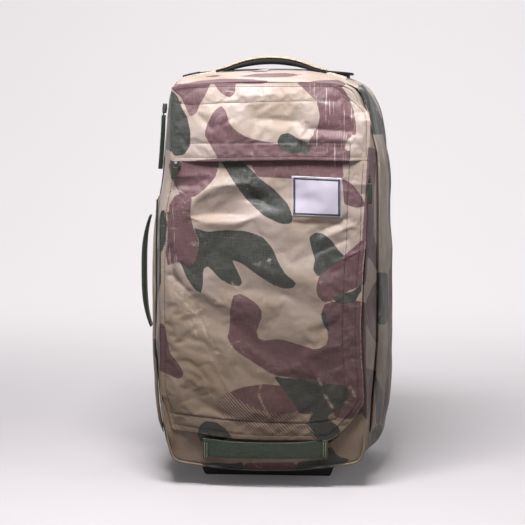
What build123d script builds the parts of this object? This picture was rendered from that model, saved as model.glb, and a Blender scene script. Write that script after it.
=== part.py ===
"""Rolling duffel bag: a soft two-section case on a rigid frame, with a two-stage trolley handle.

Millimetres, +Z up. The origin is the centre of the front foot's resting face, on the bag's
mid-plane. The front faces -Y. Soft pieces are plain closed solids of the sewn panels.
"""

import os
from math import sqrt

from build123d import *

os.makedirs("parts", exist_ok=True)

# ---------------------------------------------------------------- driving dimensions
# Case outline: half widths at the seams' ends and at mid height, top seam and crown,
# for the front face, the split between the sections, the belly and the back.
ground_gap = 42.0
case_height = 556.0
corner_radius = 34.0
front_half_end, front_half_mid, front_top_rise, front_crown = 151.0, 163.0, 6.0, 4.0
split_half_end, split_half_mid, split_top_rise, split_crown = 153.0, 167.0, 2.0, 8.0
belly_half_end, belly_half_mid, belly_crown = 159.0, 182.0, 14.0
back_half_end, back_half_mid, back_top_drop, back_crown = 154.0, 172.0, 4.0, 4.0
front_depth = 80.0
rear_depth = 225.0
belly_share = 0.45
wall = 3.0
split_gap = 4.0
mitre_reach = 70.0

# Sheets and boards
back_panel_thickness = 4.0
board_thickness = 3.0
board_margin = 24.0
liner_thickness = 2.0
trolley_space = 46.0
divider_thickness = 2.0
border_thickness = 2.5

# Lid: outer storm flap, padded inner panel, pocket, yoke and name patch
flap_half_width = 146.0
flap_low, flap_high = 78.0, 592.0
flap_thickness = 2.0
flap_corner = 48.0
hinge_corner = 6.0
pad_thickness = 7.0
pad_inset = 20.0
mouth_inset = 26.0
lid_clearance = 0.4
pocket_high = 474.0
pocket_low = 104.0
pocket_margin = 9.0
pocket_bulge, pocket_slope = 6.0, 14.0
pocket_shoulder, pocket_shoulder_inset = 4.0, 5.0
pocket_corner = 6.0
yoke_low = 488.0
yoke_thickness = 1.6
yoke_hem, yoke_hem_thickness = 22.0, 3.4
yoke_margin = 1.5
patch_width, patch_height, patch_thickness, patch_corner = 74.0, 58.0, 1.0, 1.0
patch_x, patch_z = 75.0, 431.0

# Zippers
zip_offset = 5.0
tape_width, tape_thickness = 8.6, 0.7
coil_width, coil_height = 4.4, 1.5
slider_width, slider_length, slider_height = 9.0, 14.0, 5.6
slider_clearance, slider_corner, slider_chamfer = 0.35, 1.8, 0.8
bail_radius, bail_width, bail_rise, bail_slack = 3.0, 3.2, 2.0, 0.4
pull_width, pull_thickness, pull_pin = 7.0, 1.8, 1.0
pull_slack, pull_ear_wall = 0.4, 0.6
lid_pull_length = 38.0
pocket_pull_length = 22.0
split_pull_length = 92.0
lid_slider_z = 460.0
pocket_slider_x = -126.0
pocket_zip_z = 481.0
pocket_zip_half = 134.0
split_slider_z = 556.0
split_zip_low, split_zip_stop = 420.0, 10.0
split_slider_lift = 1.6
band_depth, band_mesh = 2.4, 0.2

# Storm flap over the split zipper
storm_width, storm_thickness = 46.0, 2.4
storm_low, storm_clearance = 64.0, 0.8

# Front foot and base board
foot_depth, foot_setback = 44.0, 95.0
foot_bottom_width, foot_top_width = 190.0, 214.0
foot_wall, foot_edge, foot_skirt_z = 4.0, 5.0, 30.0
screw_radius, screw_head_radius, screw_head_height = 2.4, 4.6, 2.2
screw_clearance, screw_depth = 0.3, 20.0
foot_screw_x, foot_screw_y = 78.0, 9.0
foot_boss_radius = 6.5
base_half_width, base_front_margin = 114.0, 8.0

# Wheels and their housings
wheel_radius, wheel_width, wheel_shoulder = 36.0, 26.0, 8.0
wheel_x, wheel_back_inset = 122.0, 24.0
core_radius, core_width = 23.0, 24.0
bearing_radius, bearing_bore, bearing_width = 11.0, 4.05, 7.0
axle_radius = 4.0
axle_head_radius, axle_head_height = 6.6, 4.0
spoke_count, spoke_hole_radius = 6, 3.4
well_clearance, well_side_clearance, well_rear_height = 4.0, 3.0, 20.0
housing_wall, housing_low = 3.0, 24.0
housing_lip = 2.0

# Kick plate between the housings
kick_thickness, kick_height, kick_side_gap, kick_corner = 2.5, 96.0, 2.0, 8.0
kick_rib_count, kick_rib_pitch = 5, 36.0
kick_rib_length, kick_rib_width, kick_rib_height = 66.0, 5.0, 1.2
kick_screw_inset = 11.0

# Trolley handle
tube_x, tube_back_inset = 85.0, 30.0
tube_width, tube_depth, tube_wall, tube_corner = 22.0, 14.0, 1.2, 4.5
tube_clearance = 0.4
tube_low = 104.0
shoe_wall, shoe_height = 4.0, 34.0
cup_width, cup_depth, cup_wall = 232.0, 40.0, 3.0
cup_flange, cup_flange_thickness, cup_rise = 6.0, 2.3, 4.0
cup_sink, cup_corner = 52.0, 10.0
collar_wall, collar_height, collar_gap = 3.0, 8.0, 0.3
mid_length, inner_length = 380.0, 372.0
grip_width, grip_depth, grip_height = 204.0, 30.0, 23.0
grip_drop, socket_depth = 4.0, 14.0
grip_corner, grip_rounding, grip_under_rounding = 10.0, 7.0, 2.5
button_length, button_width, button_height = 44.0, 15.0, 10.0
button_proud, button_clearance, button_pocket = 2.5, 0.3, 12.0

# Carry handles
top_handle_half, top_handle_rise, top_handle_lift = 84.0, 13.5, 6.0
top_handle_width, top_handle_thickness = 30.0, 6.0
side_handle_half, side_handle_rise, side_handle_lift = 86.0, 11.0, 5.0
side_handle_width, side_handle_thickness = 28.0, 6.0
side_handle_z = 300.0
strap_end_width, strap_taper = 10.0, 30.0
anchor_length, anchor_margin, anchor_thickness, anchor_depth = 30.0, 2.0, 2.0, 16.0
root_length, root_gap = 9.0, 0.3
bottom_handle_half, bottom_handle_low, bottom_handle_high = 88.0, 45.0, 74.0
bottom_handle_bow, bottom_handle_thickness = 8.0, 4.0
bottom_tab_width, bottom_tab_thickness = 18.0, 3.0

# ---------------------------------------------------------------- derived places
case_low = ground_gap
belly_top = ground_gap + case_height
front_top = belly_top + front_top_rise
split_top = belly_top + split_top_rise
back_top = belly_top - back_top_drop

front_y = -(foot_setback + foot_depth / 2)
split_y = front_y + front_depth
back_y = split_y + rear_depth
belly_y = split_y + belly_share * rear_depth
front_case_end = split_y - split_gap / 2
rear_case_start = split_y + split_gap / 2
back_sheet_y = back_y - back_panel_thickness

flap_back_y = front_y + flap_thickness
pad_back_y = flap_back_y + pad_thickness
border_front_y = pad_back_y + lid_clearance
border_back_y = border_front_y + border_thickness

axle_y = back_y - wheel_back_inset
axle_z = wheel_radius
housing_radius = wheel_radius + well_clearance + housing_wall
housing_half = wheel_width / 2 + well_side_clearance + housing_wall
tube_y = back_y - tube_back_inset
kick_half = wheel_x - housing_half - kick_side_gap
kick_screw_x = kick_half - kick_screw_inset
kick_middle = case_low + kick_height / 2
cup_rim = back_top + back_crown + cup_rise
cup_floor = cup_rim - cup_sink

storm_start = split_y + slider_width / 2 + storm_clearance

# Stations are (y, half width at the ends, half width at mid height, top seam, crown).
front_station = (border_back_y, front_half_end, front_half_mid, front_top, front_crown)
front_split_station = (front_case_end, split_half_end, split_half_mid, split_top, split_crown)
rear_split_station = (rear_case_start, split_half_end, split_half_mid, split_top, split_crown)
belly_station = (belly_y, belly_half_end, belly_half_mid, belly_top, belly_crown)
back_station = (back_sheet_y, back_half_end, back_half_mid, back_top, back_crown)


# ---------------------------------------------------------------- helpers
def arc_drop(half_chord, sagitta, distance):
    """How far a shallow arc has fallen at a distance from its middle."""
    if sagitta <= 0:
        return 0.0
    radius = (half_chord**2 + sagitta**2) / (2 * sagitta)
    return radius - sqrt(radius**2 - distance**2)


def side_half_width(station, z):
    """Half width of a station's outline at height z."""
    _, end, mid, top, _ = station
    middle = (case_low + top) / 2
    return mid - arc_drop((top - case_low) / 2, mid - end, z - middle)


def top_height(station, x):
    """Height of a station's crowned top at x."""
    _, end, _, top, crown = station
    return top + crown - arc_drop(end, crown, x)


def case_outline(station, grow):
    """Flat outline of one station: bowed sides, crowned top, grown outwards by grow."""
    _, end, mid, top, crown = station
    low, high, edge = case_low - grow, top + grow, end + grow
    middle = (case_low + top) / 2
    with BuildSketch() as face:
        with BuildLine():
            ThreePointArc((-edge, low), (-mid - grow, middle), (-edge, high))
            ThreePointArc((-edge, high), (0, high + crown), (edge, high))
            ThreePointArc((edge, high), (mid + grow, middle), (edge, low))
            Line((edge, low), (-edge, low))
        make_face()
        fillet(face.vertices(), corner_radius + grow)
    return face.sketch_local


def case_form(stations, grow):
    """Solid lofted through the outlines of one section, grown outwards by grow."""
    with BuildPart() as form:
        for station in stations:
            with BuildSketch(Plane.XZ.offset(-station[0])):
                add(case_outline(station, grow))
        loft()
    return form.part


def case_ring(stations):
    """The section's gusset as one open ring of sheet."""
    with BuildPart() as ring:
        add(case_form(stations, 0))
        add(case_form(stations, -wall), mode=Mode.SUBTRACT)
    return ring.part


def gusset_wedge(side, near, far):
    """Prism between the corner mitres that keeps one side's panel of a ring."""
    x, low, high, m = belly_half_end, case_low, belly_top, mitre_reach
    inner = [(-x + m, low + m), (-x + m, high - m), (x - m, high - m), (x - m, low + m)]
    outer = [(-x - m, low - m), (-x - m, high + m), (x + m, high + m), (x + m, low - m)]
    first = ["left", "top", "right", "bottom"].index(side)
    second = (first + 1) % 4
    corners = [inner[first], outer[first], outer[second], inner[second]]
    with BuildPart() as wedge:
        with BuildSketch(Plane.XZ.offset(-far)):
            with BuildLine():
                Polyline(*corners, close=True)
            make_face()
        extrude(amount=far - near)
    return wedge.part


def flap_outline(grow, x_from):
    """Flat outline of the lid: rounded free corners and a straight hinge edge at x_from."""
    low, high, edge = flap_low - grow, flap_high + grow, flap_half_width + grow
    with BuildSketch() as face:
        with BuildLine():
            Polyline((x_from, low), (edge, low), (edge, high), (x_from, high), close=True)
        make_face()
        fillet(face.vertices().group_by(Axis.X)[-1], flap_corner + grow)
    return face.sketch_local


def save(piece, name):
    """Writes one node."""
    piece.label = name
    export_step(piece, f"parts/{name}.step")


# ---------------------------------------------------------------- wheel housings
def housing_block(x):
    """Outer form of a housing: an arch over the wheel, squared off at the bag's back."""
    arch_top = axle_z + housing_radius
    with BuildPart() as block:
        with BuildSketch(Plane.YZ.offset(x - housing_half)):
            with Locations((axle_y, axle_z)):
                Circle(housing_radius)
            with Locations((axle_y, housing_low)):
                Rectangle(2 * housing_radius, axle_z - housing_low, align=(Align.CENTER, Align.MIN))
                Rectangle(
                    back_y + housing_lip - axle_y,
                    arch_top - housing_low,
                    align=(Align.MIN, Align.MIN),
                )
                Rectangle(
                    4 * housing_radius,
                    arch_top - housing_low,
                    align=(Align.CENTER, Align.MIN),
                    mode=Mode.INTERSECT,
                )
        extrude(amount=2 * housing_half)
    return block.part


def wheel_housing(x):
    """Moulded arch with two cheeks, open below and behind, with bosses round the axle."""
    well_radius = wheel_radius + well_clearance
    cheek = housing_half - housing_wall
    with BuildPart() as housing:
        add(housing_block(x))
        with BuildSketch(Plane.YZ.offset(x - cheek)):
            with Locations((axle_y, axle_z)):
                Circle(well_radius)
            with Locations((axle_y, 0)):
                Rectangle(2 * well_radius, axle_z, align=(Align.CENTER, Align.MIN))
                Rectangle(2 * well_radius, axle_z + well_rear_height, align=(Align.MIN, Align.MIN))
        extrude(amount=2 * cheek, mode=Mode.SUBTRACT)
        boss_height = well_side_clearance / 2
        for face_x, direction in ((x - cheek, 1), (x + cheek, -1)):
            with BuildSketch(Plane.YZ.offset(face_x)):
                with Locations((axle_y, axle_z)):
                    Circle(axle_head_radius)
            extrude(amount=direction * boss_height)
        with BuildSketch(Plane.YZ.offset(x - housing_half)):
            with Locations((axle_y, axle_z)):
                Circle(axle_radius)
        extrude(amount=2 * housing_half, mode=Mode.SUBTRACT)
    return housing.part


blocks = {"left": housing_block(-wheel_x), "right": housing_block(wheel_x)}
for side, x in (("left", -wheel_x), ("right", wheel_x)):
    save(wheel_housing(x), f"wheel_housing_{side}")

# ---------------------------------------------------------------- rear section
rear_stations = (rear_split_station, belly_station, back_station)
rear_form = case_form(rear_stations, 0)
rear_ring = case_ring(rear_stations)


def cup_prism(grow_width, grow_depth, low):
    """Upright rounded prism on the cup's plan, from low to well above the case."""
    with BuildPart() as prism:
        with BuildSketch(Plane.XY.offset(low)):
            with Locations((0, tube_y)):
                RectangleRounded(
                    cup_width + grow_width,
                    cup_depth + grow_depth,
                    cup_corner + grow_depth / 2,
                )
        extrude(amount=2 * cup_sink)
    return prism.part


cup_cut = cup_prism(0, 0, cup_floor)
with BuildPart() as handle_cup:
    add(cup_prism(2 * cup_flange, cup_flange, cup_floor))
    add(rear_form, mode=Mode.SUBTRACT)
    add(cup_cut)
    add(case_form(rear_stations, cup_flange_thickness), mode=Mode.INTERSECT)
    add(cup_prism(-2 * cup_wall, -2 * cup_wall, cup_floor + cup_wall), mode=Mode.SUBTRACT)
    with BuildSketch(Plane.XY.offset(cup_floor)):
        with Locations((-tube_x, tube_y), (tube_x, tube_y)):
            RectangleRounded(tube_width, tube_depth, tube_corner)
    extrude(amount=cup_wall, mode=Mode.SUBTRACT)
save(handle_cup.part, "handle_cup")


with BuildPart() as screw_holes:
    with BuildSketch(Plane.XY.offset(case_low)):
        with GridLocations(2 * foot_screw_x, 2 * foot_screw_y, 2, 2):
            Circle(screw_radius + screw_clearance)
    extrude(amount=wall + board_thickness)

for side in ("left", "top", "right", "bottom"):
    with BuildPart() as panel:
        add(rear_ring)
        add(gusset_wedge(side, rear_case_start, back_sheet_y), mode=Mode.INTERSECT)
        add(cup_cut, mode=Mode.SUBTRACT)
        add(blocks["left"], mode=Mode.SUBTRACT)
        add(blocks["right"], mode=Mode.SUBTRACT)
        if side == "bottom":
            add(screw_holes.part, mode=Mode.SUBTRACT)
    save(panel.part, f"rear_{side}_gusset")

def kick_screw_circles(radius):
    """Four circles at the kick plate's screw places, in a sketch seen from the front."""
    with BuildSketch() as circles:
        with Locations((0, kick_middle)):
            with GridLocations(2 * kick_screw_x, kick_height - 2 * kick_screw_inset, 2, 2):
                Circle(radius)
    return circles.sketch_local


with BuildPart() as back_panel:
    with BuildSketch(Plane.XZ.offset(-back_y)):
        add(case_outline(back_station, 0))
    extrude(amount=back_panel_thickness)
    fillet(back_panel.edges().group_by(Axis.Y)[-1], back_panel_thickness / 2)
    with BuildSketch(Plane.XZ.offset(-back_y)):
        add(kick_screw_circles(screw_radius + screw_clearance))
    extrude(amount=back_panel_thickness, mode=Mode.SUBTRACT)
    add(blocks["left"], mode=Mode.SUBTRACT)
    add(blocks["right"], mode=Mode.SUBTRACT)
save(back_panel.part, "back_panel")

back_board_low = axle_z + housing_radius + board_thickness
back_board_high = cup_floor - board_margin
with BuildPart() as back_board:
    with BuildSketch(Plane.XZ.offset(-back_sheet_y)):
        with Locations((0, back_board_low)):
            Rectangle(
                2 * (back_half_end - board_margin),
                back_board_high - back_board_low,
                align=(Align.CENTER, Align.MIN),
            )
    extrude(amount=board_thickness)
    fillet(back_board.edges().filter_by(Axis.Y), board_margin / 2)
save(back_board.part, "back_board")

base_board_front = rear_case_start + base_front_margin
base_board_back = axle_y - housing_radius
with BuildPart() as base_board:
    with BuildSketch(Plane.XY.offset(case_low + wall)):
        with Locations((0, base_board_front)):
            Rectangle(
                2 * base_half_width,
                base_board_back - base_board_front,
                align=(Align.CENTER, Align.MIN),
            )
    extrude(amount=board_thickness)
    add(screw_holes.part, mode=Mode.SUBTRACT)
save(base_board.part, "base_board")

liner_y = back_sheet_y - trolley_space
with BuildPart() as trolley_liner:
    add(case_form(rear_stations, -wall))
    with BuildSketch(Plane.XZ.offset(-liner_y)):
        with Locations((0, case_low + case_height / 2)):
            Rectangle(4 * belly_half_mid, 2 * case_height)
    extrude(amount=liner_thickness, mode=Mode.INTERSECT)
    add(blocks["left"], mode=Mode.SUBTRACT)
    add(blocks["right"], mode=Mode.SUBTRACT)
save(trolley_liner.part, "trolley_liner")

with BuildPart() as storm_flap:
    add(case_form(rear_stations, storm_thickness))
    add(case_form(rear_stations, 0), mode=Mode.SUBTRACT)
    with BuildSketch(Plane.XZ.offset(-(storm_start + storm_width))):
        with Locations((0, storm_low)):
            Rectangle(4 * belly_half_mid, 2 * case_height, align=(Align.CENTER, Align.MIN))
    extrude(amount=storm_width, mode=Mode.INTERSECT)
save(storm_flap.part, "split_storm_flap")


def split_band(station, near, far, hinge):
    """Band in the gap between the sections: the fabric hinge low on the left, or the zipper."""
    with BuildPart() as band:
        with BuildSketch(Plane.XZ.offset(-far)):
            add(case_outline(station, 0))
            add(case_outline(station, -band_depth), mode=Mode.SUBTRACT)
            with Locations((-split_half_mid, split_zip_low)):
                Rectangle(
                    2 * corner_radius,
                    split_zip_low,
                    align=(Align.CENTER, Align.MAX),
                    mode=Mode.INTERSECT if hinge else Mode.SUBTRACT,
                )
        extrude(amount=far - near)
    return band.part


rear_band = (rear_split_station, split_y + band_mesh / 2, rear_case_start)
front_band = (front_split_station, front_case_end, split_y - band_mesh / 2)
save(split_band(*rear_band, False), "split_zipper_rear")
save(split_band(*front_band, False), "split_zipper_front")
save(split_band(*rear_band, True), "case_hinge_tape")

# ---------------------------------------------------------------- front foot and its screws
with BuildPart() as front_foot:
    with BuildSketch(Plane.XZ.offset(foot_depth / 2)):
        with BuildLine():
            Polyline(
                (-foot_bottom_width / 2, 0),
                (foot_bottom_width / 2, 0),
                (foot_top_width / 2, foot_skirt_z),
                (foot_top_width / 2, case_low),
                (-foot_top_width / 2, case_low),
                (-foot_top_width / 2, foot_skirt_z),
                close=True,
            )
        make_face()
    extrude(amount=-foot_depth)
    fillet(front_foot.edges().filter_by(Axis.Y).group_by(Axis.Z)[0], foot_edge)
    fillet(front_foot.edges().filter_by(Axis.Z), foot_edge)
    with BuildSketch(Plane.XY.offset(case_low)):
        Rectangle(foot_bottom_width - 2 * foot_wall - 2 * foot_edge, foot_depth - 2 * foot_wall)
        with GridLocations(2 * foot_screw_x, 2 * foot_screw_y, 2, 2):
            Circle(foot_boss_radius, mode=Mode.SUBTRACT)
        for rib_x in (-foot_screw_x / 2, 0, foot_screw_x / 2):
            with Locations((rib_x, 0)):
                Rectangle(foot_wall, foot_depth, mode=Mode.SUBTRACT)
    extrude(amount=-(case_low - foot_wall), mode=Mode.SUBTRACT)
    with BuildSketch(Plane.XY.offset(case_low)):
        with GridLocations(2 * foot_screw_x, 2 * foot_screw_y, 2, 2):
            Circle(screw_radius)
    extrude(amount=-screw_depth, mode=Mode.SUBTRACT)
save(front_foot.part, "front_foot")

screw_seat = case_low + wall + board_thickness
with BuildPart() as foot_screws:
    with BuildSketch(Plane.XY.offset(screw_seat)):
        with GridLocations(2 * foot_screw_x, 2 * foot_screw_y, 2, 2):
            Circle(screw_head_radius)
    extrude(amount=screw_head_height)
    with BuildSketch(Plane.XY.offset(screw_seat)):
        with GridLocations(2 * foot_screw_x, 2 * foot_screw_y, 2, 2):
            Circle(screw_radius)
    extrude(amount=-(wall + board_thickness + screw_depth))
save(foot_screws.part, "foot_screws")

# ---------------------------------------------------------------- kick plate
with BuildPart() as kick_plate:
    with BuildSketch(Plane.XZ.offset(-back_y)):
        with Locations((0, kick_middle)):
            RectangleRounded(2 * kick_half, kick_height, kick_corner)
        add(kick_screw_circles(screw_radius + screw_clearance), mode=Mode.SUBTRACT)
    extrude(amount=-kick_thickness)
    with BuildSketch(Plane.XZ.offset(-back_y - kick_thickness)):
        with Locations((0, kick_middle)):
            with GridLocations(kick_rib_pitch, 0, kick_rib_count, 1):
                SlotOverall(kick_rib_length, kick_rib_width, rotation=90)
    extrude(amount=-kick_rib_height)
save(kick_plate.part, "kick_plate")

with BuildPart() as kick_screws:
    with BuildSketch(Plane.XZ.offset(-back_y - kick_thickness)):
        add(kick_screw_circles(screw_head_radius))
    extrude(amount=-screw_head_height)
    fillet(kick_screws.edges().group_by(Axis.Y)[-1], screw_head_height / 2)
    with BuildSketch(Plane.XZ.offset(-back_y - kick_thickness)):
        add(kick_screw_circles(screw_radius))
    extrude(amount=kick_thickness + back_panel_thickness)
save(kick_screws.part, "kick_screws")

# ---------------------------------------------------------------- wheels
def wheel_tyre(x):
    """Urethane tyre with rounded shoulders, cast on the core."""
    with BuildPart() as tyre:
        with BuildSketch(Plane.XZ.offset(-axle_y)) as profile:
            with Locations((x, axle_z + core_radius)):
                Rectangle(wheel_width, wheel_radius - core_radius, align=(Align.CENTER, Align.MIN))
            fillet(profile.vertices().group_by(Axis.Y)[-1], wheel_shoulder)
        revolve(axis=Axis((x, axle_y, axle_z), (1, 0, 0)))
    return tyre.part


def wheel_core(x):
    """Moulded core: rim, dished web with a ring of holes, and hub with a bearing seat each side."""
    start = x - core_width / 2
    web = core_width / 3
    rim_wall, hub_wall = 2.4, 2.6
    with BuildPart() as core:
        with BuildSketch(Plane.YZ.offset(start)):
            with Locations((axle_y, axle_z)):
                Circle(core_radius)
        extrude(amount=core_width)
        for offset, direction in ((start, 1), (start + core_width, -1)):
            with BuildSketch(Plane.YZ.offset(offset)):
                with Locations((axle_y, axle_z)):
                    Circle(core_radius - rim_wall)
                    Circle(bearing_radius + hub_wall, mode=Mode.SUBTRACT)
            extrude(amount=direction * (core_width - web) / 2, mode=Mode.SUBTRACT)
            with BuildSketch(Plane.YZ.offset(offset)):
                with Locations((axle_y, axle_z)):
                    Circle(bearing_radius)
            extrude(amount=direction * bearing_width, mode=Mode.SUBTRACT)
        hole_ring = (core_radius - rim_wall + bearing_radius + hub_wall) / 2
        with BuildSketch(Plane.YZ.offset(start)):
            with Locations((axle_y, axle_z)):
                Circle(axle_head_radius)
                with PolarLocations(hole_ring, spoke_count):
                    Circle(spoke_hole_radius)
        extrude(amount=core_width, mode=Mode.SUBTRACT)
    return core.part


def wheel_bearings(x):
    """Two ball bearings as closed rings with a recessed shield face."""
    with BuildPart() as bearings:
        for face, direction in ((x - core_width / 2, 1), (x + core_width / 2, -1)):
            with BuildSketch(Plane.YZ.offset(face)):
                with Locations((axle_y, axle_z)):
                    Circle(bearing_radius)
                    Circle(bearing_bore, mode=Mode.SUBTRACT)
            extrude(amount=direction * bearing_width)
            with BuildSketch(Plane.YZ.offset(face)):
                with Locations((axle_y, axle_z)):
                    Circle(bearing_radius * 0.82)
                    Circle(bearing_radius * 0.55, mode=Mode.SUBTRACT)
            extrude(amount=direction * bearing_width / 12, mode=Mode.SUBTRACT)
    return bearings.part


for side, x in (("left", -wheel_x), ("right", wheel_x)):
    save(wheel_tyre(x), f"wheel_tyre_{side}")
    save(wheel_core(x), f"wheel_core_{side}")
    save(wheel_bearings(x), f"wheel_bearings_{side}")

with BuildPart() as wheel_axles:
    for x in (-wheel_x, wheel_x):
        with BuildSketch(Plane.YZ.offset(x - housing_half)):
            with Locations((axle_y, axle_z)):
                Circle(axle_radius)
        extrude(amount=2 * housing_half)
        for face, direction in ((x - housing_half, -1), (x + housing_half, 1)):
            with BuildSketch(Plane.YZ.offset(face)):
                with Locations((axle_y, axle_z)):
                    RegularPolygon(axle_head_radius, 6)
            extrude(amount=direction * axle_head_height)
save(wheel_axles.part, "wheel_axles")

# ---------------------------------------------------------------- trolley tubes
mid_width = tube_width - 2 * tube_wall - 2 * tube_clearance
mid_depth = tube_depth - 2 * tube_wall - 2 * tube_clearance
inner_width = mid_width - 2 * tube_wall - 2 * tube_clearance
inner_depth = mid_depth - 2 * tube_wall - 2 * tube_clearance
mid_corner = tube_corner - tube_wall - tube_clearance
inner_corner = mid_corner - tube_wall - tube_clearance
collar_low = cup_floor + cup_wall + collar_gap
collar_high = collar_low + collar_height
grip_low = cup_rim - grip_drop - grip_height
fixed_top = cup_floor + cup_wall
inner_top = grip_low + socket_depth


def tube_pair(width, depth, corner, low, high):
    """The left and right tubes of one stage."""
    with BuildPart() as pair:
        with BuildSketch(Plane.XY.offset(low)):
            with Locations((-tube_x, tube_y), (tube_x, tube_y)):
                RectangleRounded(width, depth, corner)
                RectangleRounded(
                    width - 2 * tube_wall,
                    depth - 2 * tube_wall,
                    corner - tube_wall,
                    mode=Mode.SUBTRACT,
                )
        extrude(amount=high - low)
    return pair.part


save(tube_pair(tube_width, tube_depth, tube_corner, tube_low, fixed_top), "fixed_tubes")
save(tube_pair(mid_width, mid_depth, mid_corner, collar_high - mid_length, collar_high), "mid_tubes")
save(tube_pair(inner_width, inner_depth, inner_corner, inner_top - inner_length, inner_top), "inner_tubes")

with BuildPart() as mid_collars:
    with BuildSketch(Plane.XY.offset(collar_low)):
        with Locations((-tube_x, tube_y), (tube_x, tube_y)):
            RectangleRounded(
                tube_width + 2 * collar_wall,
                tube_depth + 2 * collar_wall,
                tube_corner + collar_wall,
            )
            RectangleRounded(mid_width, mid_depth, mid_corner, mode=Mode.SUBTRACT)
    extrude(amount=collar_height)
    chamfer(mid_collars.edges().group_by(Axis.Z)[-1], collar_wall / 4)
save(mid_collars.part, "mid_collars")

shoe_low = tube_low - shoe_wall
shoe_front_y = tube_y - tube_depth / 2 - shoe_wall
with BuildPart() as tube_shoes:
    with BuildSketch(Plane.XY.offset(shoe_low)):
        with Locations((-tube_x, shoe_front_y), (tube_x, shoe_front_y)):
            Rectangle(
                tube_width + 2 * shoe_wall,
                back_sheet_y - board_thickness - shoe_front_y,
                align=(Align.CENTER, Align.MIN),
            )
    extrude(amount=shoe_height)
    with BuildSketch(Plane.XY.offset(tube_low)):
        with Locations((-tube_x, tube_y), (tube_x, tube_y)):
            RectangleRounded(tube_width, tube_depth, tube_corner)
    extrude(amount=shoe_height, mode=Mode.SUBTRACT)
save(tube_shoes.part, "tube_shoes")

# ---------------------------------------------------------------- trolley grip and button
button_floor = grip_low + grip_height - button_pocket
with BuildPart() as trolley_grip:
    with BuildSketch(Plane.XY.offset(grip_low)):
        with Locations((0, tube_y)):
            RectangleRounded(grip_width, grip_depth, grip_corner)
    extrude(amount=grip_height)
    fillet(trolley_grip.edges().group_by(Axis.Z)[-1], grip_rounding)
    fillet(trolley_grip.edges().group_by(Axis.Z)[0], grip_under_rounding)
    with BuildSketch(Plane.XY.offset(grip_low)):
        with Locations((-tube_x, tube_y), (tube_x, tube_y)):
            RectangleRounded(inner_width, inner_depth, inner_corner)
    extrude(amount=socket_depth, mode=Mode.SUBTRACT)
    with BuildSketch(Plane.XY.offset(button_floor)):
        with Locations((0, tube_y)):
            SlotOverall(button_length + 2 * button_clearance, button_width + 2 * button_clearance)
    extrude(amount=button_pocket, mode=Mode.SUBTRACT)
save(trolley_grip.part, "trolley_grip")

with BuildPart() as grip_button:
    with BuildSketch(Plane.XY.offset(grip_low + grip_height + button_proud - button_height)):
        with Locations((0, tube_y)):
            SlotOverall(button_length, button_width)
    extrude(amount=button_height)
    fillet(grip_button.edges().group_by(Axis.Z)[-1], button_proud / 2)
save(grip_button.part, "grip_button")

# ---------------------------------------------------------------- front section
front_stations = (front_station, front_split_station)
front_ring = case_ring(front_stations)
for side in ("left", "top", "right", "bottom"):
    with BuildPart() as panel:
        add(front_ring)
        add(gusset_wedge(side, border_back_y, front_case_end), mode=Mode.INTERSECT)
    save(panel.part, f"front_{side}_gusset")

mouth = flap_outline(-mouth_inset, -flap_half_width + mouth_inset)
with BuildPart() as front_border:
    with BuildSketch(Plane.XZ.offset(-border_back_y)):
        add(case_outline(front_station, 0))
        add(mouth, mode=Mode.SUBTRACT)
    extrude(amount=border_thickness)
save(front_border.part, "front_border")

with BuildPart() as divider_panel:
    with BuildSketch(Plane.XZ.offset(-front_case_end)):
        add(case_outline(front_split_station, -wall))
    extrude(amount=divider_thickness)
    add(front_ring, mode=Mode.SUBTRACT)
save(divider_panel.part, "divider_panel")

zip_layers = ((tape_width, tape_thickness), (coil_width, tape_thickness + coil_height))
with BuildPart() as lid_zipper:
    for width, height in zip_layers:
        with BuildSketch(Plane.XZ.offset(-border_front_y)):
            add(flap_outline(zip_offset + width / 2, -flap_half_width))
            add(flap_outline(zip_offset - width / 2, -flap_half_width), mode=Mode.SUBTRACT)
        extrude(amount=height)
save(lid_zipper.part, "lid_zipper")

tab_front_y = border_front_y - bottom_tab_thickness
bow_y = tab_front_y - bottom_handle_bow
with BuildPart() as bottom_handle:
    with BuildSketch(Plane.XY.offset(bottom_handle_low)):
        with BuildLine():
            inner_bow = ThreePointArc(
                (-bottom_handle_half, tab_front_y), (0, bow_y), (bottom_handle_half, tab_front_y)
            )
            outer_bow = ThreePointArc(
                (-bottom_handle_half, tab_front_y - bottom_handle_thickness),
                (0, bow_y - bottom_handle_thickness),
                (bottom_handle_half, tab_front_y - bottom_handle_thickness),
            )
            Line(inner_bow @ 0, outer_bow @ 0)
            Line(inner_bow @ 1, outer_bow @ 1)
        make_face()
    extrude(amount=bottom_handle_high - bottom_handle_low)
save(bottom_handle.part, "bottom_handle")

tab_high = flap_low - zip_offset - tape_width
with BuildPart() as bottom_handle_tabs:
    with BuildSketch(Plane.XZ.offset(-border_front_y)):
        with Locations((-bottom_handle_half, bottom_handle_low), (bottom_handle_half, bottom_handle_low)):
            Rectangle(
                bottom_tab_width, tab_high - bottom_handle_low, align=(Align.CENTER, Align.MIN)
            )
    extrude(amount=bottom_tab_thickness)
save(bottom_handle_tabs.part, "bottom_handle_tabs")

# ---------------------------------------------------------------- lid
with BuildPart() as lid_flap:
    with BuildSketch(Plane.XZ.offset(-flap_back_y)):
        add(flap_outline(0, -flap_half_width))
    extrude(amount=flap_thickness)
save(lid_flap.part, "lid_flap")

with BuildPart() as lid_pad:
    with BuildSketch(Plane.XZ.offset(-pad_back_y)):
        add(flap_outline(-pad_inset, -flap_half_width + hinge_corner))
    extrude(amount=pad_thickness)
save(lid_pad.part, "lid_pad")

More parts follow.
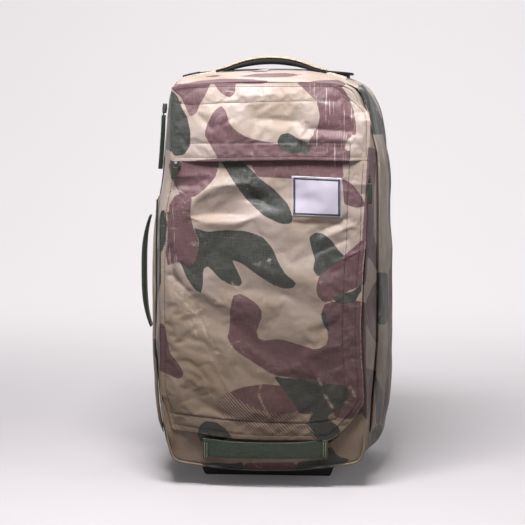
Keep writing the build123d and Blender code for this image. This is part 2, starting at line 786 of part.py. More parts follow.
pocket_layers = (
    (front_y, 0),
    (front_y - pocket_shoulder, pocket_shoulder_inset),
    (front_y - pocket_bulge, pocket_slope),
)
with BuildPart() as front_pocket:
    for y, inset in pocket_layers:
        with BuildSketch(Plane.XZ.offset(-y)):
            with Locations((0, (pocket_low + pocket_high) / 2)):
                RectangleRounded(
                    2 * (flap_half_width - pocket_margin - inset),
                    pocket_high - pocket_low - 2 * inset,
                    pocket_corner,
                )
    loft(ruled=True)
save(front_pocket.part, "front_pocket")

with BuildPart() as pocket_yoke:
    with BuildSketch(Plane.XZ.offset(-front_y)):
        add(flap_outline(-yoke_margin, -flap_half_width + yoke_margin))
        with Locations((0, yoke_low)):
            Rectangle(
                4 * flap_half_width, case_height, align=(Align.CENTER, Align.MIN), mode=Mode.INTERSECT
            )
    extrude(amount=yoke_thickness)
    with BuildSketch(Plane.XZ.offset(-front_y + yoke_thickness)):
        with Locations((0, yoke_low)):
            Rectangle(2 * (flap_half_width - yoke_margin), yoke_hem, align=(Align.CENTER, Align.MIN))
    extrude(amount=yoke_hem_thickness)
save(pocket_yoke.part, "pocket_yoke")

with BuildPart() as pocket_zipper:
    for width, height in zip_layers:
        with BuildSketch(Plane.XZ.offset(-front_y)):
            with Locations((0, pocket_zip_z)):
                Rectangle(2 * pocket_zip_half, width)
        extrude(amount=height)
save(pocket_zipper.part, "pocket_zipper")

with BuildPart() as name_patch:
    with BuildSketch(Plane.XZ.offset(-front_y + pocket_bulge)):
        with Locations((patch_x, patch_z)):
            RectangleRounded(patch_width, patch_height, patch_corner)
    extrude(amount=patch_thickness)
save(name_patch.part, "name_patch")

# ---------------------------------------------------------------- carry handles
side_axis_x = -belly_half_mid - side_handle_lift
top_axis_z = top_height(belly_station, top_handle_half) + top_handle_lift


def padded_strap(plane, half, rise, thickness, width):
    """Arched strap over its hinge axis; the plane's x runs along the axis and its y outwards."""
    with BuildPart() as strap:
        with BuildSketch(plane.offset(-width / 2)):
            with BuildLine():
                low, high = -thickness / 2, thickness / 2
                under = ThreePointArc((-half, low), (0, rise + low), (half, low))
                over = ThreePointArc((-half, high), (0, rise + high), (half, high))
                Line(under @ 0, over @ 0)
                Line(under @ 1, over @ 1)
            make_face()
        extrude(amount=width)
        plan = Plane(origin=plane.origin, x_dir=plane.x_dir, z_dir=plane.y_dir)
        with BuildSketch(plan.offset(-thickness)):
            with BuildLine():
                Polyline(
                    (-half, -strap_end_width / 2),
                    (-half + strap_taper, -width / 2),
                    (half - strap_taper, -width / 2),
                    (half, -strap_end_width / 2),
                    (half, strap_end_width / 2),
                    (half - strap_taper, width / 2),
                    (-half + strap_taper, width / 2),
                    (-half, strap_end_width / 2),
                    close=True,
                )
            make_face()
        extrude(amount=rise + 2 * thickness, mode=Mode.INTERSECT)
    return strap.part


def strap_anchors(plane, half, thickness, width, depth):
    """A stitched patch on the case and an upright root at each end of a strap."""
    middle = half + root_gap + anchor_length / 2
    plan = Plane(origin=plane.origin, x_dir=plane.x_dir, z_dir=plane.y_dir)
    with BuildPart() as anchors:
        add(rear_skin.part)
        with BuildSketch(plan.offset(-depth)):
            with Locations((-middle, 0), (middle, 0)):
                Rectangle(anchor_length, width + 2 * anchor_margin)
        extrude(amount=depth + thickness, mode=Mode.INTERSECT)
        with BuildSketch(plan.offset(-depth)):
            root = half + root_gap + root_length / 2
            with Locations((-root, 0), (root, 0)):
                Rectangle(root_length, strap_end_width)
        extrude(amount=depth + thickness / 2)
        add(rear_form, mode=Mode.SUBTRACT)
    return anchors.part


with BuildPart() as rear_skin:
    add(case_form(rear_stations, anchor_thickness))
    add(rear_form, mode=Mode.SUBTRACT)

top_plane = Plane(origin=(0, belly_y, top_axis_z), x_dir=(1, 0, 0), z_dir=(0, -1, 0))
side_plane = Plane(origin=(side_axis_x, belly_y, side_handle_z), x_dir=(0, 0, 1), z_dir=(0, -1, 0))
top_strap = (top_handle_half, top_handle_rise, top_handle_thickness, top_handle_width)
side_strap = (side_handle_half, side_handle_rise, side_handle_thickness, side_handle_width)
save(padded_strap(top_plane, *top_strap), "top_handle")
save(padded_strap(side_plane, *side_strap), "side_handle")
save(
    strap_anchors(top_plane, top_handle_half, top_handle_thickness, top_handle_width, anchor_depth),
    "top_handle_anchors",
)
save(
    strap_anchors(side_plane, side_handle_half, side_handle_thickness, side_handle_width, anchor_depth),
    "side_handle_anchors",
)

# ---------------------------------------------------------------- zip sliders and pulls
slider_base = tape_thickness + slider_clearance
ear = pull_pin + pull_ear_wall


def zip_slider(plane, travel, depth):
    """Slider body with a channel for the coil and a bail; the plane's y points up the pull."""
    along = travel == "along"
    body = (slider_width, slider_length) if along else (slider_length, slider_width)
    channel_width = coil_width + 2 * slider_clearance
    channel = (channel_width, 2 * slider_length) if along else (2 * slider_length, channel_width)
    bail_plane = Plane(origin=plane.origin + plane.z_dir * (depth + bail_rise), x_dir=plane.y_dir,
                       z_dir=plane.x_dir)
    with BuildPart() as slider:
        with BuildSketch(plane.offset(depth - slider_height)):
            RectangleRounded(*body, slider_corner)
        extrude(amount=slider_height)
        chamfer(slider.faces().sort_by(Axis(plane.origin, plane.z_dir))[-1].edges(), slider_chamfer)
        with BuildSketch(plane):
            Rectangle(*channel)
        extrude(amount=tape_thickness + coil_height + slider_clearance, mode=Mode.SUBTRACT)
        with BuildSketch(bail_plane.offset(-bail_width / 2)):
            Circle(bail_radius)
            Circle(pull_pin + bail_slack, mode=Mode.SUBTRACT)
        extrude(amount=bail_width)
    return slider.part


def zip_pull(plane, depth, length):
    """Fork-ended tab on a pin through the bail, hanging down the plane's y axis."""
    pin_plane = Plane(origin=plane.origin + plane.z_dir * (depth + bail_rise), x_dir=plane.y_dir,
                      z_dir=plane.x_dir)
    notch = bail_radius + pull_slack
    with BuildPart() as pull:
        with BuildSketch(plane.offset(depth + bail_rise - pull_thickness / 2)):
            with Locations((0, ear)):
                Rectangle(pull_width, length + ear, align=(Align.CENTER, Align.MAX))
            with Locations((0, ear)):
                Rectangle(
                    bail_width + 2 * pull_slack,
                    ear + notch,
                    align=(Align.CENTER, Align.MAX),
                    mode=Mode.SUBTRACT,
                )
        extrude(amount=pull_thickness)
        with BuildSketch(pin_plane.offset(-pull_width / 2)):
            Circle(pull_pin)
        extrude(amount=pull_width)
    return pull.part


lid_zip_x = flap_half_width + zip_offset
lid_plane = Plane(origin=(lid_zip_x, border_front_y, lid_slider_z), x_dir=(1, 0, 0), z_dir=(0, -1, 0))
pocket_plane = Plane(origin=(pocket_slider_x, front_y, pocket_zip_z), x_dir=(1, 0, 0), z_dir=(0, -1, 0))
split_x = -side_half_width(rear_split_station, split_slider_z) - split_slider_lift
split_stop_z = split_zip_low + split_zip_stop
split_flare = side_half_width(rear_split_station, split_stop_z) + split_slider_lift + split_x
split_normal = (split_stop_z - split_slider_z, 0, split_flare)
split_plane = Plane(origin=(split_x, split_y, split_slider_z), x_dir=(0, -1, 0), z_dir=split_normal)
raised = slider_base + slider_height
save(zip_slider(lid_plane, "along", raised), "lid_slider")
save(zip_slider(pocket_plane, "across", raised), "pocket_slider")
save(zip_slider(split_plane, "along", slider_height), "split_slider")
save(zip_pull(lid_plane, raised, lid_pull_length), "lid_pull")
save(zip_pull(pocket_plane, raised, pocket_pull_length), "pocket_pull")
save(zip_pull(split_plane, slider_height, split_pull_length), "split_pull")
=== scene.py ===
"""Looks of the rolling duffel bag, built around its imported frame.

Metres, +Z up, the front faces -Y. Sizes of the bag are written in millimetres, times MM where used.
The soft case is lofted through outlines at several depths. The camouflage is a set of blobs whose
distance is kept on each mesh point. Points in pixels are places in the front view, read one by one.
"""

from itertools import product
from math import cos, pi, radians, sin, tan

import bmesh
import bpy
import numpy as np
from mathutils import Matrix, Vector
from mathutils.bvhtree import BVHTree


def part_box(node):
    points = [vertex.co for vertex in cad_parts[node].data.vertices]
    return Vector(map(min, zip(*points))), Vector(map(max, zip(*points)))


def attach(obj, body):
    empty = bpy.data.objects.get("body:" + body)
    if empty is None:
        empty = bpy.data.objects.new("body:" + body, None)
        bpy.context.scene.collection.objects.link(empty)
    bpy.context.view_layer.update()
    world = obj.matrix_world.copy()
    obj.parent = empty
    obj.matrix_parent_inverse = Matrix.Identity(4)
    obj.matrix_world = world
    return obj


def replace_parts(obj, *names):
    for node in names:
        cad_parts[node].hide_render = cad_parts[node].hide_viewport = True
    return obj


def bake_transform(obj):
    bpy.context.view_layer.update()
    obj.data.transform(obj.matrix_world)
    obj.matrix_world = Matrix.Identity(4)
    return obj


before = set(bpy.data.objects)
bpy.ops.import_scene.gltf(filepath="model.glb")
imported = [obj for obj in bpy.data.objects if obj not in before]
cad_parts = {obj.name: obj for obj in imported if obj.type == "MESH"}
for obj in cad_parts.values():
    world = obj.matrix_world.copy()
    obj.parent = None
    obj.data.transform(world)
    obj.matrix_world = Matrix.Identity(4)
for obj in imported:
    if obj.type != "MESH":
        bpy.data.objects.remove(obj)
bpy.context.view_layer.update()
MM = 0.001

# ---------------------------------------------------------------- camera
IMAGE_SIZE = 525
CAMERA_PLACE = np.array([0.23368, -3.30884, 0.740])
CAMERA_DOWN, CAMERA_LEFT, CAMERA_ANGLE = radians(7.1806), radians(4.1986), radians(13.5086)
FOCAL_PIXELS = IMAGE_SIZE / 2 / tan(CAMERA_ANGLE / 2)


def camera_axes():
    """The camera's right, up and forward directions."""
    right = np.array([cos(CAMERA_LEFT), sin(CAMERA_LEFT), 0.0])
    level = np.array([-sin(CAMERA_LEFT), cos(CAMERA_LEFT), 0.0])
    forward = level * cos(CAMERA_DOWN) - np.array([0, 0, sin(CAMERA_DOWN)])
    return right, np.cross(right, forward), forward


def pixels_on_plane(pixels, depth):
    """x and z, in metres, where these pixels' lines of sight meet the plane y = depth."""
    right, up, forward = camera_axes()
    offset = (np.asarray(pixels, float) - IMAGE_SIZE / 2) / FOCAL_PIXELS
    ray = forward + offset[:, :1] * right - offset[:, 1:] * up
    reach = (depth - CAMERA_PLACE[1]) / ray[:, 1:2]
    return (CAMERA_PLACE + ray * reach)[:, [0, 2]]


def pixels_of(points):
    """The pixel at which each point of an (n, 3) array is seen."""
    right, up, forward = camera_axes()
    away = points - CAMERA_PLACE
    distance = away @ forward
    across = away @ right / distance * FOCAL_PIXELS
    above = away @ up / distance * FOCAL_PIXELS
    return np.column_stack([IMAGE_SIZE / 2 + across, IMAGE_SIZE / 2 - above])


def add_camera():
    data = bpy.data.cameras.new("camera")
    data.angle = CAMERA_ANGLE
    camera = bpy.data.objects.new("camera", data)
    camera.location = CAMERA_PLACE
    camera.rotation_euler = (pi / 2 - CAMERA_DOWN, 0, CAMERA_LEFT)
    bpy.context.scene.collection.objects.link(camera)
    bpy.context.scene.camera = camera


# ---------------------------------------------------------------- lines, noise and meshes
def along_line(line):
    """The length from a line's start to each of its points."""
    return np.concatenate([[0], np.cumsum(np.linalg.norm(np.diff(line, axis=0), axis=1))])


def resample(line, places):
    """Points of a line at these lengths along it."""
    along = along_line(line)
    return np.column_stack([np.interp(places, along, line[:, k]) for k in range(line.shape[1])])


DENSE_STEPS = 600


def smooth_line(points, count, soften, closed=False):
    """count evenly spaced points of a polyline whose corners are eased over soften."""
    line = np.asarray(points, float)
    if closed:
        line = np.vstack([line, line[:1]])
    length = along_line(line)[-1]
    dense = resample(line, np.linspace(0, length, DENSE_STEPS + 1))
    step = length / DENSE_STEPS
    reach = max(1, int(3 * soften / step))
    weights = np.exp(-0.5 * (np.arange(-reach, reach + 1) * step / soften) ** 2)
    if closed:
        before, after = dense[-reach - 1 : -1], dense[1 : reach + 1]
    else:
        before = 2 * dense[0] - dense[reach:0:-1]
        after = 2 * dense[-1] - dense[-2 : -reach - 2 : -1]
    padded = np.vstack([before, dense, after])
    weights /= weights.sum()
    eased = np.column_stack(
        [np.convolve(padded[:, k], weights, "valid") for k in range(line.shape[1])]
    )
    length = along_line(eased)[-1]
    return resample(eased, np.linspace(0, length, count, endpoint=not closed))


def ramp(values, start, run):
    """0 up to start, then straight to 1 over run; with a negative run it goes down instead."""
    return np.clip((values - start) / run, 0, 1)


def bell(away, reach):
    """1 where away is 0, falling smoothly to 0 at a few times reach."""
    return np.exp(-((away / reach) ** 2))


NOISE_CELLS = 24


def lumps(points, size, seed):
    """Smooth seeded noise in -1..1, with lumps about size across."""
    table = np.random.default_rng(seed).uniform(-1, 1, (NOISE_CELLS,) * 3)
    place = np.asarray(points) / size
    cell = np.floor(place).astype(int)
    share = place - cell
    share = share * share * (3 - 2 * share)
    total = np.zeros(len(place))
    for corner in product((0, 1), repeat=3):
        i, j, k = ((cell + corner) % NOISE_CELLS).T
        total += table[i, j, k] * np.prod(np.where(corner, share, 1 - share), axis=1)
    return total


def line_distance(points, line):
    """Distance of 2-D points to a polyline."""
    nearest = np.full(len(points), 1e9)
    for a, b in zip(line[:-1], line[1:]):
        run = b - a
        share = np.clip((points - a) @ run / max(run @ run, 1e-12), 0, 1)
        nearest = np.minimum(nearest, np.linalg.norm(points - a - share[:, None] * run, axis=1))
    return nearest


def blob_depth(points, outlines):
    """Signed distance of 2-D points into the nearest of several closed outlines, positive inside."""
    deepest = np.full(len(points), -1.0)
    for outline in outlines:
        low, high = outline.min(0) - 0.02, outline.max(0) + 0.02
        near = np.all((points > low) & (points < high), axis=1)
        some = points[near]
        ring = np.vstack([outline, outline[:1]])
        crossings = np.zeros(len(some), int)
        for a, b in zip(ring[:-1], ring[1:]):
            if a[1] == b[1]:
                continue
            spans = (a[1] > some[:, 1]) != (b[1] > some[:, 1])
            crossing_x = a[0] + (some[:, 1] - a[1]) * (b[0] - a[0]) / (b[1] - a[1])
            crossings += spans & (some[:, 0] < crossing_x)
        depth = line_distance(some, ring) * np.where(crossings % 2, 1, -1)
        deepest[near] = np.maximum(deepest[near], depth)
    return deepest


def new_object(name, verts, faces):
    mesh = bpy.data.meshes.new(name)
    mesh.from_pydata(np.asarray(verts).tolist(), [], faces)
    mesh.update()
    mesh.shade_smooth()
    item = bpy.data.objects.new(name, mesh)
    bpy.context.scene.collection.objects.link(item)
    return item


def points_of(item):
    """The mesh points of an object as an (n, 3) array."""
    co = np.zeros(len(item.data.vertices) * 3)
    item.data.vertices.foreach_get("co", co)
    return co.reshape(-1, 3)


def set_points(item, points):
    item.data.vertices.foreach_set("co", points.ravel())
    item.data.update()


def grid_faces(rows, columns, wrap=False, flip=False):
    """Quads of a grid of rows by columns; wrap joins the last column to the first."""
    faces = []
    for i in range(rows - 1):
        for j in range(columns if wrap else columns - 1):
            k = (j + 1) % columns
            quad = (i * columns + j, i * columns + k, (i + 1) * columns + k, (i + 1) * columns + j)
            faces.append(quad[::-1] if flip else quad)
    return faces


def grid_object(name, grid, wrap=False, flip=False):
    rows, columns = grid.shape[:2]
    return new_object(name, grid.reshape(-1, 3), grid_faces(rows, columns, wrap, flip))


def keep_value(item, name, values):
    """Stores a number on each mesh point, for its material."""
    layer = item.data.attributes.new(name, "FLOAT", "POINT")
    layer.data.foreach_set("value", np.asarray(values, np.float32))


def keep_place(item, places):
    """Stores where each mesh point lies on the flat cloth, so that the weave follows it."""
    layer = item.data.attributes.new("cloth", "FLOAT_VECTOR", "POINT")
    layer.data.foreach_set("vector", np.asarray(places, np.float32).ravel())


def settle(item):
    """Applies an object's modifiers."""
    graph = bpy.context.evaluated_depsgraph_get()
    mesh = bpy.data.meshes.new_from_object(item.evaluated_get(graph))
    item.modifiers.clear()
    item.data = mesh


def thicken(item, amount, back=None):
    """Gives a sheet its thickness behind its face, with another finish on the back."""
    modifier = item.modifiers.new("thickness", "SOLIDIFY")
    modifier.thickness = amount
    modifier.offset = -1
    modifier.use_even_offset = False
    if back is not None:
        item.data.materials.append(back)
        modifier.material_offset = 1
    settle(item)


def surface_of(*items):
    """A tree of the surfaces of these objects, to find points on them."""
    verts, faces = [], []
    for item in items:
        start = len(verts)
        verts += [v.co.copy() for v in item.data.vertices]
        faces += [[start + i for i in face.vertices] for face in item.data.polygons]
    return BVHTree.FromPolygons(verts, faces)


CLOTH_FRAMES = 16
CLOTH_SETTINGS = {
    "quality": 5, "mass": 0.3, "tension_stiffness": 25, "compression_stiffness": 25,
    "shear_stiffness": 12, "bending_stiffness": 2.5, "shrink_min": -0.013,
    "vertex_group_mass": "sewn", "use_pressure": True, "uniform_pressure_force": 0.8,
}


def settle_cloth(item, held, room):
    """Lets a sheet with spare length buckle; held is 1 where it is sewn, room caps its travel."""
    before = points_of(item)
    group = item.vertex_groups.new(name="sewn")
    held = np.round(held, 1)
    for level in np.unique(held):
        group.add(np.where(held == level)[0].tolist(), float(level), "REPLACE")
    cloth = item.modifiers.new("cloth", "CLOTH")
    for name, value in CLOTH_SETTINGS.items():
        setattr(cloth.settings, name, value)
    cloth.settings.effector_weights.gravity = 0
    cloth.point_cache.frame_start, cloth.point_cache.frame_end = 1, CLOTH_FRAMES
    scene = bpy.context.scene
    for frame_number in range(1, CLOTH_FRAMES + 1):
        scene.frame_set(frame_number)
    settle(item)
    scene.frame_set(1)
    item.vertex_groups.clear()
    moved = points_of(item) - before
    moved *= np.minimum(1, room / np.maximum(np.linalg.norm(moved, axis=1), 1e-9))[:, None]
    set_points(item, before + moved)


def drop_on(tree, points, direction, lift=0.0):
    """Points and normals where rays from points meet a surface, raised by lift."""
    direction = Vector(direction)
    found, normals = [], []
    for point in points:
        hit, normal, _, _ = tree.ray_cast(Vector(point), direction)
        if hit is None:
            continue
        if normal.dot(direction) > 0:
            normal = -normal
        found.append(hit + normal * lift)
        normals.append(normal)
    return np.array(found), np.array(normals)


# ---------------------------------------------------------------- materials
def srgb(*levels):
    """A linear colour from 0-255 screen levels."""
    values = [level / 255 for level in levels]
    return (*[v / 12.92 if v < 0.04045 else ((v + 0.055) / 1.055) ** 2.4 for v in values], 1)


TAN, BURGUNDY, GREEN = srgb(165, 151, 144), srgb(94, 61, 66), srgb(38, 43, 38)


class Finish:
    """A procedural material: nodes are added by kind and joined by socket name."""

    def __init__(self, name, roughness=0.6, metallic=0.0, specular=0.5, sheen=0.0):
        self.material = bpy.data.materials.new(name)
        self.material.use_nodes = True
        self.tree = self.material.node_tree
        self.shader = self.tree.nodes["Principled BSDF"]
        self.shader.inputs["Roughness"].default_value = roughness
        self.shader.inputs["Metallic"].default_value = metallic
        self.shader.inputs["Specular IOR Level"].default_value = specular
        self.shader.inputs["Sheen Weight"].default_value = sheen
        self.height = None

    def add(self, kind, output, settings=(), **inputs):
        """Adds a node and gives back one of its outputs; inputs are values or other outputs."""
        node = self.tree.nodes.new("ShaderNode" + kind)
        for name, value in dict(settings).items():
            setattr(node, name, value)
        for name, value in inputs.items():
            self.join(value, node.inputs[int(name[1:]) if name[1:].isdigit() else name.replace("_", " ")])
        return node.outputs[output]

    def join(self, value, socket):
        if isinstance(value, bpy.types.NodeSocket):
            self.tree.links.new(value, socket)
        else:
            socket.default_value = value

    def value(self, name):
        return self.add("Attribute", "Fac", {"attribute_name": name})

    def cloth(self):
        return self.add("Attribute", "Vector", {"attribute_name": "cloth"})

    def place(self):
        return self.add("TexCoord", "Object")
    def turned(self, place, degrees, *scale):
        rotation = (0, 0, radians(degrees))
        return self.add("Mapping", "Vector", Vector=place, Rotation=rotation, Scale=scale)

    def stretched(self, place, *scale):
        return self.turned(place, 0, *scale)

    def noise(self, place, scale, detail=3.0, roughness=0.5, distortion=0.0):
        return self.add("TexNoise", "Fac", Vector=place, Scale=scale, Detail=detail,
                        Roughness=roughness, Distortion=distortion)

    def wave(self, place, scale, direction, distortion=0.0):
        settings = {"bands_direction": direction}
        return self.add("TexWave", "Fac", settings, Vector=place, Scale=scale, Distortion=distortion)

    def math(self, operation, a, b=0.0, c=0.0):
        return self.add("Math", "Value", {"operation": operation}, _0=a, _1=b, _2=c)

    def between(self, value, low, high, to_low=0.0, to_high=1.0):
        """Maps low..high smoothly to to_low..to_high."""
        node = self.tree.nodes.new("ShaderNodeMapRange")
        node.interpolation_type = "SMOOTHSTEP"
        for name, given in zip(("Value", "From Min", "From Max", "To Min", "To Max"),
                               (value, low, high, to_low, to_high)):
            self.join(given, node.inputs[name])
        return node.outputs["Result"]

    def mix(self, share, a, b, blend="MIX"):
        node = self.tree.nodes.new("ShaderNodeMix")
        node.data_type = "RGBA"
        node.blend_type = blend
        for index, given in zip((0, 6, 7), (share, a, b)):
            self.join(given, node.inputs[index])
        return node.outputs[2]

    def raise_by(self, value, depth):
        """Adds value times depth, in metres, to the surface's fine relief."""
        amount = self.math("MULTIPLY", value, depth)
        self.height = amount if self.height is None else self.math("ADD", self.height, amount)

    def done(self, color, roughness=None):
        self.join(color, self.shader.inputs["Base Color"])
        if roughness is not None:
            self.join(roughness, self.shader.inputs["Roughness"])
        if self.height is not None:
            bump = self.add("Bump", "Normal", Height=self.height, Distance=1.0, Strength=1.0)
            self.join(bump, self.shader.inputs["Normal"])
        return self.material


def woven(finish, place, threads=900.0, depth=0.00006):
    """Relief of a plain weave and the slubs of its threads; gives back the slubs."""
    across = finish.wave(place, threads / 3.2, "X", 0.6)
    down = finish.wave(place, threads / 3.2, "Y", 0.6)
    finish.raise_by(finish.math("MULTIPLY", across, down), depth)
    warp = finish.noise(finish.stretched(place, 900, 70, 900), 1.0, 2)
    weft = finish.noise(finish.stretched(place, 70, 900, 900), 1.0, 2)
    slubs = finish.math("MULTIPLY", finish.math("ADD", warp, weft), 0.5)
    finish.raise_by(slubs, depth * 1.5)
    return slubs


def camo_canvas():
    """Waxed canvas printed with burgundy and green blobs over tan."""
    finish = Finish("camo_canvas", roughness=0.6, specular=0.45, sheen=0.1)
    math, between, noise, mix = finish.math, finish.between, finish.noise, finish.mix
    place = finish.cloth()
    slubs = woven(finish, place)
    blotches = noise(place, 14, 4, 0.6)
    color = mix(between(blotches, 0.3, 0.75), TAN, srgb(146, 128, 110))
    burgundy = mix(between(blotches, 0.35, 0.8), BURGUNDY, srgb(82, 55, 60))
    green = mix(between(blotches, 0.3, 0.7), GREEN, srgb(34, 39, 34))

    # The print's edge wavers; where it is frayed, brush marks and bare streaks break it up.
    edge = math("SUBTRACT", noise(place, 260, 4, 0.6), 0.5)
    downward = noise(finish.stretched(place, 420, 26, 1), 1.0, 3, 0.6)
    brush = math("MULTIPLY", math("SUBTRACT", downward, 0.5), finish.value("fray"))
    streaks = between(noise(finish.turned(place, -12, 480, 15, 1), 1.0, 3, 0.55), 0.41, 0.36)
    streaks = math("MULTIPLY", streaks, finish.value("fray"))
    lines = finish.wave(finish.turned(place, -42, 1, 1, 1), 86, "X", 1.6)
    hatch = math("MULTIPLY", math("SUBTRACT", lines, 0.6), finish.value("hatch"))
    for name, ink, hatching in (("burgundy", burgundy, 0.075), ("green", green, 0.008)):
        depth = math("MULTIPLY_ADD", edge, 0.0016, finish.value(name))
        for mark, amount in ((brush, 0.014), (streaks, -0.045), (hatch, hatching)):
            depth = math("MULTIPLY_ADD", mark, amount, depth)
        color = mix(between(depth, -0.0004, 0.0004), color, ink)

    # Rubbed wax, scratches with a painted highlight along the panel's rim, and the thread's own light and
    # dark, then painted shade that darkens towards the bottom.
    rubbed = between(noise(finish.stretched(place, 30, 46, 30), 1.0, 9, 0.72, 0.8), 0.57, 0.76)
    worn = math("MULTIPLY", rubbed, math("MULTIPLY_ADD", finish.value("wear"), 1.0, 0.1))
    color = mix(worn, color, srgb(208, 200, 196))
    broken = between(noise(place, 160, 4, 0.6), 0.34, 0.6)
    # Pale scratches, and a painted highlight along the panel's rim.
    color = mix(math("MULTIPLY", finish.value("rubs"), broken), color, srgb(196, 183, 172))
    color = mix(between(slubs, 0.3, 0.7, 0.0, 0.07), color, srgb(225, 216, 208))
    color = mix(between(slubs, 0.52, 0.3, 0.0, 0.1), color, srgb(40, 36, 34))
    # Painted shade: the colour is multiplied darker towards the bottom, by height, for the light falling off
    # downwards.
    height = finish.add("SeparateXYZ", "Z", Vector=finish.place())
    painted_shade_low = between(math("MULTIPLY_ADD", blotches, 0.09, height), 0.5, 0.14, 0.0, 0.85)
    color = mix(painted_shade_low, color, mix(1.0, color, srgb(172, 160, 136), "MULTIPLY"))
    finish.raise_by(noise(place, 70, 5, 0.6), 0.0008)
    return finish.done(color, between(blotches, 0.3, 0.7, 0.46, 0.7))


def plain_cloth(name, color, dark, threads=700.0, roughness=0.8):
    """Unprinted cloth or tape in two shades."""
    finish = Finish(name, roughness=roughness, specular=0.3, sheen=0.1)
    color, dark = srgb(*color), srgb(*dark)
    place = finish.place()
    slubs = woven(finish, place, threads, 0.00008)
    tint = finish.mix(finish.between(slubs, 0.35, 0.65), dark, color)
    worn = finish.between(finish.noise(place, 38, 6, 0.65), 0.55, 0.8, 0.0, 0.25)
    return finish.done(finish.mix(worn, tint, color))


def moulded_plastic(name, color, roughness=0.45):
    finish = Finish(name, roughness=roughness, specular=0.5)
    color = srgb(*color)
    place = finish.place()
    finish.raise_by(finish.noise(place, 900, 4, 0.6), 0.00005)
    scuffed = finish.between(finish.noise(place, 55, 8, 0.75), 0.58, 0.8)
    lighter = tuple(min(1, 1.9 * c + 0.01) for c in color[:3]) + (1,)
    tint = finish.mix(finish.math("MULTIPLY", scuffed, 0.5), color, lighter)
    return finish.done(tint, finish.between(scuffed, 0, 1, roughness, roughness + 0.2))


def brushed_metal(name, color, roughness):
    finish = Finish(name, roughness=roughness, metallic=1.0)
    color = srgb(*color)
    grain = finish.noise(finish.stretched(finish.place(), 900, 900, 18), 1.0, 3)
    finish.raise_by(grain, 0.00002)
    darker = tuple(0.75 * c for c in color[:3]) + (1,)
    gloss = finish.between(grain, 0.2, 0.8, roughness, roughness + 0.2)
    return finish.done(finish.mix(grain, darker, color), gloss)


def zip_finish():
    """Black zipper tape with a herringbone weave."""
    finish = Finish("zip_tape_and_coil", roughness=0.55)
    rows = finish.wave(finish.place(), 260, "DIAGONAL")
    finish.raise_by(rows, 0.00025)
    return finish.done(finish.mix(rows, srgb(14, 14, 15), srgb(44, 43, 44)))


def label_finish():
    """White woven label with a thin dark frame line; its middle is bare."""
    finish = Finish("label_weave", roughness=0.7, sheen=0.1)
    slubs = woven(finish, finish.place(), 1600, 0.00003)
    color = srgb(196, 192, 200)
    for start, stop, shade in ((0.0022, 0.0025, (6, 6, 9)), (0.0050, 0.0053, (176, 171, 184))):
        color = finish.mix(finish.between(finish.value("label_edge"), start, stop), color, srgb(*shade))
    threads = finish.between(slubs, 0.3, 0.7, 0.0, 0.12)
    return finish.done(finish.mix(threads, color, srgb(180, 172, 190)))


def tyre_finish():
    finish = Finish("urethane_tyre", roughness=0.6)
    place = finish.place()
    dust = finish.between(finish.noise(place, 120, 6, 0.7), 0.45, 0.75, 0.0, 0.5)
    finish.raise_by(finish.noise(place, 700, 3), 0.00008)
    return finish.done(finish.mix(dust, srgb(26, 26, 28), srgb(74, 70, 66)))


RECIPES = (
    ("camo_canvas", camo_canvas),
    ("strap_canvas", plain_cloth, "tan_canvas", (196, 182, 164), (150, 134, 116)),
    ("green_webbing", plain_cloth, "green_tape", (58, 68, 54), (34, 42, 33), 1100, 0.42),
    ("lining_fabric", plain_cloth, "lining_cloth", (64, 62, 66), (38, 37, 40), 1400, 0.85),
    ("board_plastic", moulded_plastic, "fibre_board", (40, 40, 42), 0.7),
    ("black_plastic", moulded_plastic, "black_moulding", (22, 22, 23)),
    ("button_plastic", moulded_plastic, "grey_moulding", (88, 88, 90), 0.4),
    ("zip_coil", zip_finish),
    ("zip_metal", brushed_metal, "dark_zip_metal", (120, 118, 116), 0.35),
    ("patch_film", label_finish),
    ("tube_aluminium", brushed_metal, "anodised_tube", (190, 190, 192), 0.28),
    ("wheel_tyre", tyre_finish),
    ("wheel_core", moulded_plastic, "wheel_moulding", (52, 52, 55), 0.5),
    ("screw_steel", brushed_metal, "zinc_steel", (170, 170, 172), 0.3),
    ("black_webbing", plain_cloth, "black_tape", (26, 24, 24), (10, 9, 9), 900, 0.75),
    ("pale_thread", plain_cloth, "pale_thread", (176, 166, 140), (120, 112, 94), 2600, 0.6),
    ("green_thread", plain_cloth, "green_thread", (46, 92, 66), (28, 60, 44), 2600, 0.6),
    ("thread", plain_cloth, "sewing_thread", (36, 36, 32), (22, 22, 20), 2600, 0.6),
)
FINISHES = {slot: build(*given) for slot, build, *given in RECIPES}


def paint(item, slot):
    item.data.materials.append(FINISHES[slot])


def seat(item, slot, body, *nodes):
    """Joins a piece to its body and has it stand for these CAD nodes; its slot is not used."""
    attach(item, body)
    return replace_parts(item, *nodes) if nodes else item


# ---------------------------------------------------------------- camouflage
def px(*pairs):
    """Flat numbers as pixel points."""
    return np.array(pairs, float).reshape(-1, 2)


FRONT_DEPTH = -0.115
